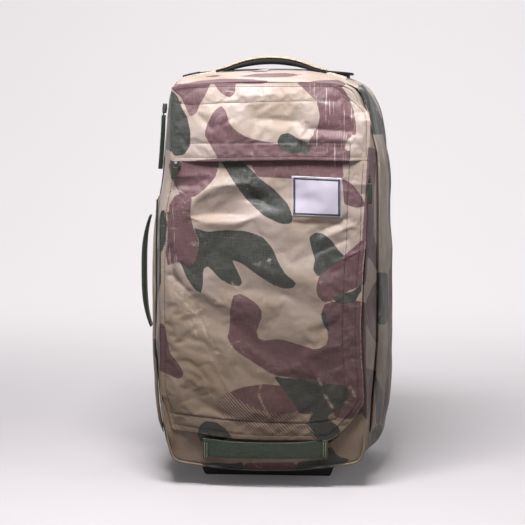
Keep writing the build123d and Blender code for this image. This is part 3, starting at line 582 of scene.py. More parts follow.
# Outlines of the print's blobs, in pixels of the front view.
GREEN_BLOBS = [
    px(221, 161, 233, 181, 246, 199, 264, 216, 281, 224, 291, 224, 293, 217, 288, 204, 273, 188,
       259, 178, 254, 172, 243, 162.5, 241, 161),
    px(193, 227, 206, 232, 226, 230, 246, 231, 263, 237, 273, 249, 278, 262, 286, 275, 297, 283,
       294, 288, 284, 289, 273, 285, 256, 274, 243, 264, 231, 259, 238, 272, 243, 284, 239, 287,
       231, 285, 220, 279, 211, 269, 206, 265, 203, 270, 203, 285, 201, 294, 195, 290, 188, 280,
       183, 269, 180, 259, 190, 268, 197, 258, 199, 240),
    px(309, 237, 316, 232, 324, 234, 332, 241, 339, 251, 345, 256, 318, 277, 313, 270, 315, 260,
       311, 247),
    px(277, 141, 281, 134, 289, 133, 297, 138, 312, 145, 309, 154, 289, 153, 279, 149),
    px(166, 91, 173, 91, 178, 97, 182, 108, 187, 117, 190.5, 132, 190, 146, 184, 155, 174, 156, 171, 150,
       165, 150, 164, 110),
    px(273, 376, 284, 378, 299, 379, 346, 386, 351, 393, 344, 406, 333, 413, 326, 417, 339, 427,
       341, 434, 331, 443, 317, 443, 307, 424, 312, 414, 299, 414, 295, 405),
    px(197, 434, 200, 425, 206, 421, 216, 422, 225, 428, 236, 442, 200, 442),
    px(331, 298, 339, 295, 354, 291, 362, 283, 362, 290, 354, 303, 339, 304),
    px(321, 313, 324, 310, 327, 320, 330, 333, 326, 329, 322, 321),
    px(162, 209, 166, 211, 167, 225, 166, 240, 162, 252, 159, 254, 158, 220),
    px(154, 249, 161, 249, 161, 282, 157, 300, 153, 282),
    px(357, 84, 370, 81, 375, 88, 380, 108, 385, 134, 372, 135, 371, 122, 368, 110, 362, 98),
    px(377, 272, 388, 273, 388, 322, 385, 325, 377, 324),
    px(375, 374, 379, 382, 382.5, 392, 382, 412, 379, 425, 376, 424),
    px(373, 428, 382, 424, 383, 442, 380, 463, 364, 463, 368, 445),
    px(157, 412, 162, 415, 166, 430, 168.5, 453, 163, 455, 158, 434),
    px(200, 463, 215, 463, 244, 464, 243, 475, 215, 472),
    px(296, 462, 352, 457, 345, 464, 320, 470, 296, 475),
    px(240, 457, 256, 458, 256, 462, 240, 462),
    px(326, 452, 333, 450, 341, 459, 328, 461),
]
BURGUNDY_BLOBS = [
    px(171, 84, 211, 82.5, 205, 96, 200, 104, 196, 114, 190, 117, 186, 108, 181, 97, 172, 90),
    px(212, 80, 236, 80, 235, 93, 230, 98, 224, 95, 218, 90),
    px(221, 105, 226, 111, 229, 123, 236, 131, 248, 138, 263, 141, 278, 144, 310, 146, 350, 150,
       350, 165, 222, 165, 211, 146, 204, 134, 207, 125, 213, 112),
    px(296, 82, 338, 82, 348, 95, 354, 111, 357, 134, 348, 138, 344, 150, 306, 150, 312, 135,
       318, 126, 320, 115, 316, 101, 306, 91),
    px(168, 163, 221, 158, 215, 178, 206, 188, 195, 197, 181, 196, 175, 186, 170, 173),
    px(176, 194, 192, 197, 190, 214, 193, 227, 198, 239, 198, 262, 193, 276, 187, 277, 180, 262,
       176, 262, 168, 266, 165, 255, 168, 235, 167, 215, 172, 200),
    px(250, 154, 342, 154, 344, 178, 300, 179, 258, 177, 252, 168),
    px(342, 178, 352, 184, 361, 195, 366, 206, 356, 208, 344, 204),
    px(369, 234, 346, 254, 319, 276, 316, 289, 317, 295, 324, 303, 334, 300, 348, 291, 366, 284),
    px(233, 295, 239, 293, 249, 298, 258, 305, 262, 311, 262, 318, 258, 326, 256, 334, 260, 341,
       281, 339, 297, 344, 316, 350, 326, 346, 329, 336, 322, 316, 322, 306, 330, 302, 366, 301,
       366, 373, 366, 404, 352, 420, 332, 417, 346, 386, 299, 379, 273, 375, 259, 366, 243, 356,
       233, 348, 227, 339, 230, 326, 230, 310),
    px(229, 392, 243, 387, 264, 384, 283, 386, 296, 392, 301, 404, 296, 412, 281, 419, 256, 421,
       239, 412, 231, 402),
    px(160, 322, 165, 326, 167, 339, 170, 353, 178, 363, 184, 373, 181, 379, 175, 378, 168, 374,
       158, 370, 156, 345),
    px(389, 268, 395, 268, 395, 402, 388, 420, 383, 426, 381, 420, 385, 396, 388, 345),
    px(377, 279, 371, 289, 366, 302, 363.5, 313, 366, 322, 371, 335, 377.5, 345),
    px(359, 365, 368, 369, 377, 370.5, 374, 385, 372, 401, 367, 421, 362, 414, 360, 395),
    px(368, 146, 378, 150, 376, 170, 374, 190, 374, 215, 374, 238, 377, 246, 377.5, 272, 371, 260,
       368, 256, 364, 262, 362, 240, 365, 200),
    px(220, 457, 240, 458, 240, 463, 220, 463),
    px(244, 463, 296, 462, 296, 475, 244, 475),
    px(303, 455, 324, 454, 324, 460, 303, 461),
    px(184, 84, 200, 80.5, 225, 78.6, 250, 79.2, 270, 81, 262, 84),
    px(238, 76.4, 256, 73.6, 285, 73, 304, 74.6, 286, 77.2, 262, 77.6),
    px(298, 84, 318, 80.4, 338, 79.6, 347, 84, 340, 88),
    px(200, 77.4, 212, 75.2, 226, 74.8, 216, 77),
]
PIXEL_SIZE = 1.46
SEEN_SCALE = PIXEL_SIZE * MM
BLOB_SIZE, BLOB_AREA = 0.036, 0.016
BLOB_POINTS, BLOB_EASE = 80, 1.7


def seen_camo(points):
    """Depth into the green and the burgundy of the pattern seen from the front."""
    places = pixels_of(points) * SEEN_SCALE
    depths = []
    for blobs in (GREEN_BLOBS, BURGUNDY_BLOBS):
        outlines = [smooth_line(blob, BLOB_POINTS, BLOB_EASE, closed=True) * SEEN_SCALE for blob in blobs]
        depths.append(blob_depth(places, outlines))
    return depths


def scattered_blobs(seed, low, high, count):
    """Lobed outlines scattered over a flat stretch of cloth."""
    random = np.random.default_rng(seed)
    outlines = []
    turn = np.linspace(0, 2 * pi, 40, endpoint=False)
    for _ in range(count):
        centre = random.uniform(low, high)
        radius = BLOB_SIZE * random.uniform(0.6, 1.25)
        shape = radius * (1 + 0.32 * np.sin(2 * turn + random.uniform(0, 6)))
        for lobes, height in ((3, 0.26), (5, 0.12)):
            shape += radius * height * np.sin(lobes * turn + random.uniform(0, 6))
        lean, stretch = random.uniform(0, pi), random.uniform(1.2, 1.9)
        x, y = shape * np.cos(turn) * stretch, shape * np.sin(turn) / stretch**0.5
        ring = np.column_stack([x * cos(lean) - y * sin(lean), x * sin(lean) + y * cos(lean)])
        outlines.append(ring + centre)
    return outlines


def print_camo(item, places, seed, seen=None, **marks):
    """Prints the pattern on a piece: scattered over its flat cloth, or as seen where seen is 1."""
    low, high = places.min(0) - 0.03, places.max(0) + 0.03
    count = max(3, int(np.prod(high - low) / BLOB_AREA))
    values = [
        blob_depth(places, scattered_blobs(seed + k, low, high, number))
        for k, number in enumerate((int(count * 0.8), count))
    ]
    if seen is not None:
        values = [np.where(seen, *pair) for pair in zip(seen_camo(points_of(item)), values)]
    for name, depth in zip(("green", "burgundy"), values):
        keep_value(item, name, depth)
    for name in ("wear", "fray", "hatch", "rubs"):
        keep_value(item, name, marks.get(name, np.zeros(len(places))))
    keep_place(item, np.column_stack([places, np.zeros(len(places))]))


# ---------------------------------------------------------------- case outlines
# Height and distance from the mid-plane, up each side at four depths, in millimetres.
DEPTHS = (-108.0, -39.0, 50.0, 188.0)
LEFT_SIDE = (
    ((42, 136), (60, 140), (87, 146), (131, 151), (280, 152), (405, 150), (431, 145), (460, 138),
     (486, 134), (591, 132)),
    ((42, 149), (60, 154), (110, 161), (209, 166), (380, 164), (454, 154), (541, 147), (560, 145),
     (591, 140)),
    ((42, 160), (60, 166), (100, 172), (178, 178), (240, 179), (330, 178), (380, 174), (411, 169),
     (454, 160), (541, 148), (591, 139)),
    ((42, 154), (140, 163), (240, 168), (320, 169), (400, 165), (500, 155), (591, 145)),
)
RIGHT_SIDE = (
    ((42, 147), (84, 150), (131, 151), (224, 147), (300, 147), (371, 150), (487, 151), (520, 150),
     (560, 144), (591, 130)),
    ((42, 150), (60, 154), (90, 156), (121, 158), (174, 162), (212, 165), (421, 164), (488, 163),
     (519, 155), (540, 150), (559, 145), (569, 141), (591, 134)),
    ((42, 168), (69, 173), (85, 177), (108, 180), (201, 182), (278, 181), (445, 179), (483, 175),
     (521, 167), (551, 159), (566, 152), (591, 140)),
    ((42, 154), (140, 163), (240, 170), (320, 172), (400, 168), (500, 159), (545, 151), (591, 138)),
)
TOP_LEFT_ENDS, TOP_RIGHT_ENDS = (593, 597, 597, 594), (592, 588, 585, 583)
TOP_MIDDLE = (599, 607.5, 610, 600)
CASE_BOTTOM, BOTTOM_SAG, SAG_HALF, REAR_SLACK = 42.0, 15.0, 150.0, 6.0
TOP_INSET, BOTTOM_INSET = 8.0, 5.0
CORNER_EASE = 8.0
RING_COUNT = 480
CROWN_RIGHT, CROWN_LEFT = 3.4, 2.0
HEIGHTS = np.linspace(52, 580, 34)
ACROSS = np.linspace(1, -1, 25)


def across_depths(values, depth):
    """The cubic through values at the four depths, at another depth."""
    total = 0.0
    for i, near in enumerate(DEPTHS):
        weight = 1.0
        for j, other in enumerate(DEPTHS):
            if i != j:
                weight *= (depth - other) / (near - other)
        total = total + weight * np.asarray(values[i], float)
    return total


def case_outline(depth, ease=CORNER_EASE):
    """Closed outline at a depth, from the bottom's middle round by the right; x and z in metres."""
    depth = min(max(depth, DEPTHS[0]), DEPTHS[-1])
    left, right = (
        across_depths([np.interp(HEIGHTS, *zip(*side)) for side in table], depth)
        for table in (LEFT_SIDE, RIGHT_SIDE)
    )
    on_right = ACROSS > 0
    middle, left_end, right_end = (
        across_depths(heights, depth) for heights in (TOP_MIDDLE, TOP_LEFT_ENDS, TOP_RIGHT_ENDS)
    )
    ends = np.where(on_right, right_end, left_end)
    top_x = np.where(on_right, right[-1] - TOP_INSET, left[-1] - TOP_INSET) * ACROSS
    crown = np.abs(ACROSS) ** np.where(on_right, CROWN_RIGHT, CROWN_LEFT)
    low_x = np.where(on_right, right[0] - BOTTOM_INSET, left[0] - BOTTOM_INSET) * ACROSS
    sag = BOTTOM_SAG * ramp(depth, -25, -50) * np.clip(1 - (low_x / SAG_HALF) ** 2, 0, 1)
    slack = REAR_SLACK * ramp(depth, -50, 14) * ramp(depth, 110, -60)
    low = np.column_stack([low_x, CASE_BOTTOM - slack - sag])
    halves = np.array_split(low[::-1], [len(low) // 2])
    outline = np.vstack([
        halves[1],
        np.column_stack([right, HEIGHTS]),
        np.column_stack([top_x, middle - (middle - ends) * crown]),
        np.column_stack([-left, HEIGHTS])[::-1],
        halves[0],
    ])
    return smooth_line(outline * MM, RING_COUNT, ease * MM, closed=True)


def outward(outline):
    """Outward unit normals of a closed outline."""
    run = np.roll(outline, -1, axis=0) - np.roll(outline, 1, axis=0)
    run /= np.linalg.norm(run, axis=1)[:, None]
    return np.column_stack([run[:, 1], -run[:, 0]])


def ring_grid(rows, first=0.0, last=1.0, ease=CORNER_EASE):
    """Grid of closed rings; each row is an outline's depth, the ring's own depth, and its lift outwards."""
    start, stop = int(first * RING_COUNT), int(last * RING_COUNT)
    grid = []
    for outline_depth, depth, lift in rows:
        outline = case_outline(outline_depth, ease=ease)
        ring = outline + outward(outline) * np.reshape(lift, (-1, 1)) * MM
        grid.append(np.column_stack([ring[:, 0], np.full(len(ring), depth * MM), ring[:, 1]])[start:stop])
    return np.array(grid)


def grid_places(grid):
    """Flat place of each grid point: along its row, then across the rows."""
    middle = grid[len(grid) // 2]
    along = along_line(middle)
    across = np.cumsum([0] + [np.linalg.norm(b - a, axis=1).mean() for a, b in zip(grid, grid[1:])])
    return np.array([[(s, t) for s in along] for t in across]).reshape(-1, 2)


def grid_normals(grid, wrap=True):
    """Normals of a ring grid, pointing outwards."""
    if wrap:
        along = np.roll(grid, -1, axis=1) - np.roll(grid, 1, axis=1)
    else:
        along = np.gradient(grid, axis=1)
    normals = np.cross(np.gradient(grid, axis=0), along)
    return normals / np.maximum(np.linalg.norm(normals, axis=2), 1e-9)[:, :, None]


def rumple(grid, hold, size, height, seed):
    """Moves a ring grid in and out by soft lumps, less where hold is near 0."""
    flat = grid.reshape(-1, 3)
    amount = lumps(flat, size, seed) + 0.45 * lumps(flat, size * 0.42, seed + 1)
    moved = grid_normals(grid) * (amount.reshape(grid.shape[:2]) * hold)[:, :, None]
    return grid + moved * height * MM


def even_rows(start, stop, pitch):
    return np.linspace(start, stop, int(round(abs(stop - start) / pitch)) + 1)


# ---------------------------------------------------------------- case sections
SPLIT_FRONT, SPLIT_REAR, RIM_DEPTH = -38.4, -35.6, -108.5
MOUTH = (-117.0, 110.0, 108.0, 562.0)
MOUTH_DEPTHS = (-106.8, -107.8, -108.0, -108.2, -108.4, -108.6)
SHELL, BACK_SHEET = 2.4, 2.0
CREST_DEPTH, CREST_HEIGHT, CREST_WIDTH = -49, 3.4, 10
BOTTOM_TUCK = 6.5


def flat_ring(ring, depth):
    """A ring of x and z as 3-D points at one depth, in millimetres."""
    return np.column_stack([ring[:, 0], np.full(len(ring), depth * MM), ring[:, 1]])


def mouth_rows():
    """Rings from the case's rim in to the lid's rectangular opening."""
    left, right, low, high = MOUTH
    corners = [(0, low), (right, low), (right, high), (left, high), (left, low)]
    opening = smooth_line(np.array(corners) * MM, RING_COUNT, 14 * MM, closed=True)
    rim = case_outline(-108)
    rim = rim - outward(rim) * 5 * MM
    shares = np.linspace(1, 0, len(MOUTH_DEPTHS))
    return np.array([
        flat_ring(opening * share + rim * (1 - share), depth) for share, depth in zip(shares, MOUTH_DEPTHS)
    ])


def front_case_rows():
    """Rings of the front section; its top has a low crest in front of the split."""
    outline = case_outline(-45)
    on_top = ramp(outward(outline)[:, 1], 0.75, 0.2) * ramp(outline[:, 0], 0.122, -0.012)
    rim = [(-108, RIM_DEPTH, -2.4), (-108, -107.8, -0.9), (-107, -106.4, -0.1)]
    side = [(d, d, CREST_HEIGHT * bell(d - CREST_DEPTH, CREST_WIDTH) * on_top)
            for d in even_rows(-104, -46, 4.2)]
    roll = [(-42.5, -41.6, -0.3 + 1.2 * on_top), (-41, -39.8, -1.0), (-39.5, -38.7, -2.4),
            (-39, SPLIT_FRONT, -6.5)]
    return rim + side + roll


def rear_case_rows():
    roll = [(-37, SPLIT_REAR, -6.5), (-36, -35.4, -2.4), (-34, -34.3, -1.0), (-31, -32.4, -0.3)]
    side = [(d, d, 0) for d in even_rows(-27, 176, 4.6)]
    rim = [(180, 180.5, -0.8), (183, 184, -2.4), (186, 186.6, -5.2), (188, 187.8, -9), (188, 188, -14)]
    return roll + side + rim


def cut_box(item, low, high):
    """Removes the part of a sheet inside a box, cut straight along the box's sides."""
    sheet = bmesh.new()
    sheet.from_mesh(item.data)
    low, high = Vector(low), Vector(high)
    for axis, bound in product(range(3), (low, high)):
        normal = Vector([float(axis == k) for k in range(3)])
        near = [f for f in sheet.faces if near_box(f, low, high)]
        geometry = list({*near, *(e for f in near for e in f.edges), *(v for f in near for v in f.verts)})
        bmesh.ops.bisect_plane(sheet, geom=geometry, dist=1e-6, plane_co=bound, plane_no=normal)
    inside = [f for f in sheet.faces if near_box(f, low, high, f.calc_center_median())]
    bmesh.ops.delete(sheet, geom=inside, context="FACES")
    sheet.to_mesh(item.data)
    sheet.free()


def near_box(face, low, high, *points):
    """Whether a face's bounds, or the given point, lie within a box."""
    points = points or [v.co for v in face.verts]
    return all(
        max(p[k] for p in points) > low[k] and min(p[k] for p in points) < high[k] for k in range(3)
    )


def well_box(side):
    """The part of the case's sheet that a wheel housing takes up."""
    low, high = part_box("wheel_housing_" + side)
    wall = 1.6 * MM
    return (low.x + wall, low.y + wall, 0.0), (high.x - wall, 0.3, high.z - 6 * MM)


def cup_box():
    """The part of the case's sheet that the handle cup takes up."""
    low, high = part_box("handle_cup")
    flange = 6 * MM
    return (low.x + flange, low.y + flange, 0.56), (high.x - flange, high.y - flange, 0.7)


WELLS = (well_box("left"), well_box("right"))


def ring_piece(name, grid, body, slot, seed, thickness, lined=False, seen=None, wrap=True, cuts=()):
    """One sheet of the case: printed where it has a seed, cut, thickened and joined to its body."""
    item = grid_object(name, grid, wrap=wrap, flip=True)
    paint(item, slot)
    if seed is not None:
        flat = points_of(item)
        mask = seen(flat) if seen else None
        wear = 0.5 + 0.5 * lumps(flat, 0.09, seed + 40)
        print_camo(item, grid_places(grid), seed, seen=mask, wear=wear)
    for low, high in cuts:
        cut_box(item, low, high)
    thicken(item, thickness * MM, FINISHES["lining_fabric"] if lined else None)
    return seat(item, slot, body)


def build_front_case():
    rows = front_case_rows()
    depth = np.array([d for _, d, _ in rows])
    hold = np.minimum(ramp(depth, -106, 12), ramp(depth, -44, -14))
    grid = np.vstack([mouth_rows(), rumple(ring_grid(rows), hold[:, None], 0.07, 3.2, 11)])
    low = ramp(grid[:, :, 2], 0.086, -0.04)
    near_front = ramp(grid[:, :, 1], -0.092, -0.014)
    grid[:, :, 1] += BOTTOM_TUCK * MM * low * low * (3 - 2 * low) * near_front
    piece = ring_piece("front_case_shell", grid, "front_case", "camo_canvas", 21, SHELL, True,
                       seen=lambda p: (p[:, 2] > 0.02) & (p[:, 2] < 0.62))
    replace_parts(piece, "front_left_gusset", "front_top_gusset", "front_right_gusset",
                "front_bottom_gusset", "front_border")


def build_rear_case():
    rows = rear_case_rows()
    grid = ring_grid(rows)
    depth = np.array([d for _, d, _ in rows])
    hold = ramp(depth, -34, 20) * ramp(depth, 184, -30)
    low = ramp(grid[:, :, 2], 0.05, 0.05)
    cup_near = bell(grid[:, :, 1] - 0.158, 0.04) * (grid[:, :, 2] > 0.56)
    grid = rumple(grid, hold[:, None] * low * (1 - cup_near), 0.08, 4.2, 31)
    piece = ring_piece("rear_case_shell", grid, "rear_case", "camo_canvas", 52, SHELL, True,
                       seen=lambda p: (p[:, 0] > 0.05) & (p[:, 1] < 0.06), cuts=(*WELLS, cup_box()))
    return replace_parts(piece, "rear_left_gusset", "rear_top_gusset", "rear_right_gusset",
                       "rear_bottom_gusset")


def build_back():
    """The flat back, closed towards its upright middle line, with a stitched sleeve for each tube."""
    rows = 40
    outline = case_outline(188)
    outer = outline - outward(outline) * 12.5 * MM
    core = np.column_stack([np.zeros(RING_COUNT), np.clip(outer[:, 1], 0.19, 0.45)])
    shares = np.linspace(0, 1, rows)
    grid = np.array([flat_ring(outer * (1 - share) + core * share, 187.8) for share in shares])
    flat = grid.reshape(-1, 3)
    relief = 0.6 * lumps(flat, 0.09, 71) * MM
    for x in (-106, -64, 64, 106):
        relief -= 1.1 * MM * bell(flat[:, 0] / MM - x, 2.6) * (flat[:, 2] > 0.15)
    from_rim = np.repeat(np.clip(np.linspace(0, 4, rows), 0, 1), RING_COUNT)
    flat[:, 1] += np.clip(relief, -2 * MM, 0.6 * MM) * from_rim
    item = grid_object("back_cloth", grid, wrap=True, flip=True)
    paint(item, "camo_canvas")
    print_camo(item, flat[:, [0, 2]], 83, wear=0.5 + 0.5 * lumps(flat, 0.08, 84))
    for low, high in WELLS:
        cut_box(item, low, high)
    thicken(item, BACK_SHEET * MM, FINISHES["lining_fabric"])
    seat(item, "camo_canvas", "rear_case", "back_panel")


BAND_LOW, BAND_HELD_BACK = 0.066, -0.0328
BAND_CORNER = np.array([0.145, 0.592])
BAND_PROFILE = (
    (-39.0, 0.5), (-40.6, 1.3), (-41.0, 2.5), (-39.6, 3.9), (-35, 5.1), (-27, 5.6), (-15, 5.2), (-4, 4.4),
    (4, 3.6), (9, 3.0), (12.4, 2.4), (14, 1.4), (14.4, 0.2),
)


def band_fullness(outline, first, last):
    """How far the storm band stands out at each ring point, full at 1 and tapered at its ends."""
    count = last - first
    full = np.zeros(RING_COUNT)
    full[first:last] = np.clip(np.minimum(np.arange(count), np.arange(count)[::-1]) / 5, 0.1, 1) ** 0.5
    past = np.arange(RING_COUNT) - np.argmin(np.linalg.norm(outline - BAND_CORNER, axis=1))
    full *= 1 + 0.9 * bell(past, np.where(past < 0, 13, 2.2))
    full *= np.where((past > 0) & (outline[:, 1] > 0.56), 0.45, 1)
    return full * np.where(outline[:, 0] < 0, 1 - 0.75 * ramp(outline[:, 1], 0.36, 0.08), 1)


def build_storm_band():
    """Padded storm flap that stands beside the split zipper, over the top and down both sides."""
    outline = case_outline(-10)
    covered = np.where(outline[:, 1] > BAND_LOW)[0]
    first, last = covered[0], covered[-1] + 1
    full = band_fullness(outline, first, last)
    rows = [(max(d, -36), d, lift * full) for d, lift in BAND_PROFILE]
    grid = ring_grid(rows, first / RING_COUNT, last / RING_COUNT, 6.0)
    slider_run = ramp(grid[:, :, 0], -0.1, -0.03) * ramp(grid[:, :, 2], 0.27, 0.03)
    grid[:, :, 1] += (np.maximum(grid[:, :, 1], BAND_HELD_BACK) - grid[:, :, 1]) * slider_run
    puckers = 0.35 * lumps(grid.reshape(-1, 3), 0.014, 91) + 0.8 * lumps(grid.reshape(-1, 3), 0.06, 92)
    shape = np.sin(np.linspace(0, pi, len(rows)))[:, None] * puckers.reshape(grid.shape[:2])
    grid = grid + grid_normals(grid, wrap=False) * shape[:, :, None] * MM
    piece = ring_piece("storm_band", grid, "rear_case", "camo_canvas", 64, 0.5,
                       seen=lambda p: (p[:, 0] > 0.0) | (p[:, 2] > 0.55), wrap=False)
    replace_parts(piece, "split_storm_flap")


def build_split_zipper():
    """The two tape and coil rings in the groove between the sections."""
    for half, outer, inner in (("front", -39.6, -37.2), ("rear", -34.6, -36.9)):
        middle = (outer + inner) / 2
        rows = [(-38, outer, -5.0), (-38, middle, -3.4), (-38, (middle + inner) / 2, -2.2),
                (-38, inner, -2.6), (-38, inner, -4.4)]
        piece = ring_piece("split_coil_" + half, ring_grid(rows), half + "_case", "zip_coil", None, 0.4)
        if half == "rear":
            piece.data.flip_normals()
        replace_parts(piece, "split_zipper_" + half)


def build_flat_lining(name, node, body, depth, cut=None):
    """Flat lining panel across a section, a little smaller than the case's outline."""
    low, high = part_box(node)
    outline = case_outline(depth)
    edge = outline - outward(outline) * 9 * MM
    verts = np.column_stack([edge[:, 0], np.full(RING_COUNT, low.y), edge[:, 1]])
    item = new_object(name, verts, [list(range(RING_COUNT))])
    face_front(item)
    paint(item, "lining_fabric")
    if cut:
        cut_box(item, *cut)
    thicken(item, high.y - low.y)
    seat(item, "lining_fabric", body, node)


def face_front(item):
    """Turns a sheet's normals to the front."""
    if item.data.polygons[0].normal.y > 0:
        item.data.flip_normals()


def build_linings():
    build_flat_lining("divider_cloth", "divider_panel", "front_case", -36)
    low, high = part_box("handle_cup")
    cup = ((low.x - MM, 0.0, low.z - MM), (high.x + MM, 0.3, 0.7))
    build_flat_lining("liner_cloth", "trolley_liner", "rear_case", 136, cup)


GARAGE_PATH = ((-125, -30, 603.4), (-117, -30, 605.6), (-108, -30, 607.6), (-100, -30, 609.0))


def build_split_garage():
    """Black tape sewn over the upper end of the split zipper."""
    strap("split_zip_garage", GARAGE_PATH, (0, 1, 0), 15, 2.6, "black_plastic", "rear_case",
          finish="black_webbing", count=24, fullness=0.4, soften=2)


def build_piping():
    """Covered cord sewn into the seams at the front rim and round the back."""
    turn = np.linspace(0, 2 * pi, 8, endpoint=False)
    for name, body, depth, seed, radius, cuts in (
        ("rim_piping", "front_case", -107.6, 101, 1.7, ()),
        ("back_piping", "rear_case", 184.6, 103, 2.4, WELLS),
    ):
        rows = [(depth, depth + radius * sin(a), radius * (cos(a) - 0.2) + 0.2) for a in turn]
        grid = ring_grid([*rows, rows[0]])
        item = grid_object(name, grid, wrap=True, flip=True)
        paint(item, "camo_canvas")
        flat = points_of(item)
        places = np.column_stack([grid_places(grid)[:, 0], flat[:, 1]])
        print_camo(item, places, seed, seen=flat[:, 1] < 0)
        for low, high in cuts:
            cut_box(item, low, high)
        seat(item, "camo_canvas", body)


# ---------------------------------------------------------------- front panel and yoke
# Boundaries of the front panel and of the yoke above it, in pixels of the front view.
PANEL_LEFT = px(170, 161, 168, 180, 164, 198, 161.5, 210, 160.5, 250, 160, 300, 161, 337, 160.7, 386,
                161.3, 396, 164.5, 402, 168, 413, 171.6, 428)
PANEL_RIGHT = px(369.5, 160.5, 369.3, 172, 367.2, 190, 366.2, 240, 363.2, 270, 362.6, 285, 362, 300,
                 360.8, 325, 361.6, 358, 363.3, 380, 363.8, 403, 355.4, 416, 349.9, 423.2)
PANEL_TOP = px(170, 161, 220, 160.6, 262, 159.8, 300, 159.4, 345, 160.2, 369.5, 160.5)
PANEL_BOTTOM = px(171.6, 428, 172.7, 429.8, 197, 432.6, 220.9, 436.4, 235, 438.5, 255, 439.6, 275, 440.2,
                  326.4, 440.5, 333.1, 438.9, 341, 432.2, 349.9, 423.2)
YOKE_LEFT = px(171, 87.5, 171, 150, 170, 161)
YOKE_RIGHT = px(353, 96.8, 361.4, 104.2, 368.8, 113.5, 370.2, 121, 370, 140, 369.5, 160)
YOKE_TOP = px(171, 87.5, 183, 84.5, 222, 83.2, 262, 83, 335, 83, 345, 90.3, 353, 96.8)
YOKE_FOLD = px(170, 161, 219.6, 160.3, 262, 159.5, 300, 159, 345, 160, 369.5, 160)
# Rows of stitches.
PANEL_STITCHES = (
    px(363.5, 163, 361.5, 190, 360.4, 240, 357.4, 270, 356.2, 300, 355.2, 325, 356, 358, 357.7, 380,
       358.2, 401, 351, 412, 337, 427.5, 330, 433.6, 325, 435.2, 275, 435, 235, 433.3, 197, 427.4, 174, 424),
    px(350, 163, 348, 190, 346.8, 240, 344.6, 270, 343.4, 300, 342.6, 330, 343.5, 365, 345, 385, 345, 400,
       336, 419, 306, 423, 262, 421.5, 223, 419, 195, 415.5, 168, 412.5),
    px(174.5, 165, 172, 183, 168.5, 200, 166, 212, 165, 250, 164.5, 300, 165.5, 337, 165.2, 386, 169, 402,
       172.5, 411),
)
YOKE_STITCHES = (
    px(190, 143, 222, 142.6, 262, 142.2, 300, 142, 345, 142.6),
    px(176, 103, 190, 104.6, 222, 102.8, 262, 101.6, 300, 100.8, 338, 101),
    px(174, 90.5, 184, 88, 222, 86.6, 262, 86.4, 334, 86.4, 342, 92.6, 358.6, 106.4, 365.4, 114.6,
       366.6, 121, 366.2, 156.5),
    px(174.5, 157, 219, 156.8, 262, 156, 300, 155.6, 345, 156.6, 364, 156.6),
)
# Folds: the line, its width in pixels, and its height in millimetres.
PANEL_FOLDS = (
    (px(192, 208, 199, 194, 214, 186, 250, 182), 6, 3.6),
    (px(190, 216, 208, 222, 236, 223, 260, 216), 6, 2.2),
    (px(252, 196, 268, 204), 6, -3.2), (px(322, 231, 345, 219), 4, -2.2), (px(322, 238, 350, 226), 4, 1.8),
    (px(318, 252, 346, 240), 4, -1.8), (px(335, 262, 360, 250), 5, 1.4), (px(295, 222, 340, 224), 4, -1.4),
    (px(165, 240, 176, 282), 5, -1.8), (px(172, 275, 190, 290), 4, -2.0), (px(165, 403, 205, 384), 9, 1.8),
    (px(180, 402, 212, 392), 8, -1.5), (px(340, 345, 350, 380), 6, 1.4), (px(230, 300, 262, 330), 9, -1.2),
    (px(300, 360, 335, 400), 9, -1.5), (px(205, 345, 232, 395), 10, 1.6), (px(176, 176, 210, 174), 5, 1.6),
    (px(280, 262, 330, 290), 12, 1.4), (px(196, 300, 214, 350), 9, -1.3),
)
YOKE_FOLDS = (
    (px(255, 118, 300, 122), 6, -2.2), (px(196, 112, 212, 128), 5, -2.2), (px(222, 126, 232, 118), 4, -1.8),
    (px(308, 129, 350, 131), 4, -2.2), (px(300, 138, 352, 140), 4, 1.8), (px(173, 135, 184, 118), 4, -2.2),
    (px(240, 96, 300, 93), 5, 1.2), (px(318, 100, 352, 118), 5, 1.2),
)
# Hollows: the crest, then width, height and depth in millimetres.
HOLLOWS = ((px(225, 188), 32, 38, 9.5), (px(257, 186), 14, 20, 4.5), (px(190, 168), 30, 26, 3.5))
# Frayed print, hatched strokes, scratches, and the panel's rim as a worn edge with a painted highlight: the
# line and its reach in pixels.
BRUSHED = ((px(171, 206, 172, 262), 6), (px(322, 90, 345, 128), 12), (px(318, 140, 345, 158), 12))
HATCHED = ((px(222, 406, 262, 424, 306, 434), 13),)
SCRATCHES_AND_RIM_HIGHLIGHT = (
    (px(176, 293, 184, 300, 192, 309, 200, 318, 207, 331), 1.1),
    (px(193, 317, 203, 327, 212, 341, 218, 353), 1.2),
    (px(181, 309, 188, 313, 197, 312, 203, 309), 0.9), (px(190, 321, 196, 329, 198, 337), 0.8),
    (px(260.8, 384, 259, 395, 265, 408, 270, 417), 0.7), (px(323, 393, 327, 399, 332, 407), 1.5),
    (px(350, 387, 355, 396), 1.3), (px(304, 417, 311, 414), 1.3), (px(318, 378, 321, 384), 1.0),
    (px(343, 404, 350, 400), 0.9), (px(232, 282, 240, 290), 0.8), (px(205, 386, 214, 397), 0.6),
    # The panel's rim: partly a worn edge, partly a painted highlight where the edge catches the light.
    (PANEL_BOTTOM, 0.7), (PANEL_RIGHT[3:], 0.45), (PANEL_LEFT[-3:], 0.6),
)
# Lines round which the wax is worn.
SCUFFED = (px(178, 300, 218, 352), px(226, 186, 300, 300), px(180, 210, 205, 350), px(230, 90, 290, 112))
PANEL_SWELL = 121.5
LEAST_SWELL, SLIDER_SWELL, TUCKED_SWELL = 110.9, 121.8, 120.4
HOLLOW_END, HOLLOW_WALL = 1.22, 0.22


def coons(top, bottom, left, right):
    """Grid of points that fills four boundary lines; top and bottom run across, the others down."""
    across = np.linspace(0, 1, len(top))[None, :, None]
    down = np.linspace(0, 1, len(left))[:, None, None]
    sides = left[:, None] * (1 - across) + right[:, None] * across
    ends = top[None] * (1 - down) + bottom[None] * down
    upper = top[0] * (1 - across) + top[-1] * across
    lower = bottom[0] * (1 - across) + bottom[-1] * across
    return sides + ends - upper * (1 - down) - lower * down


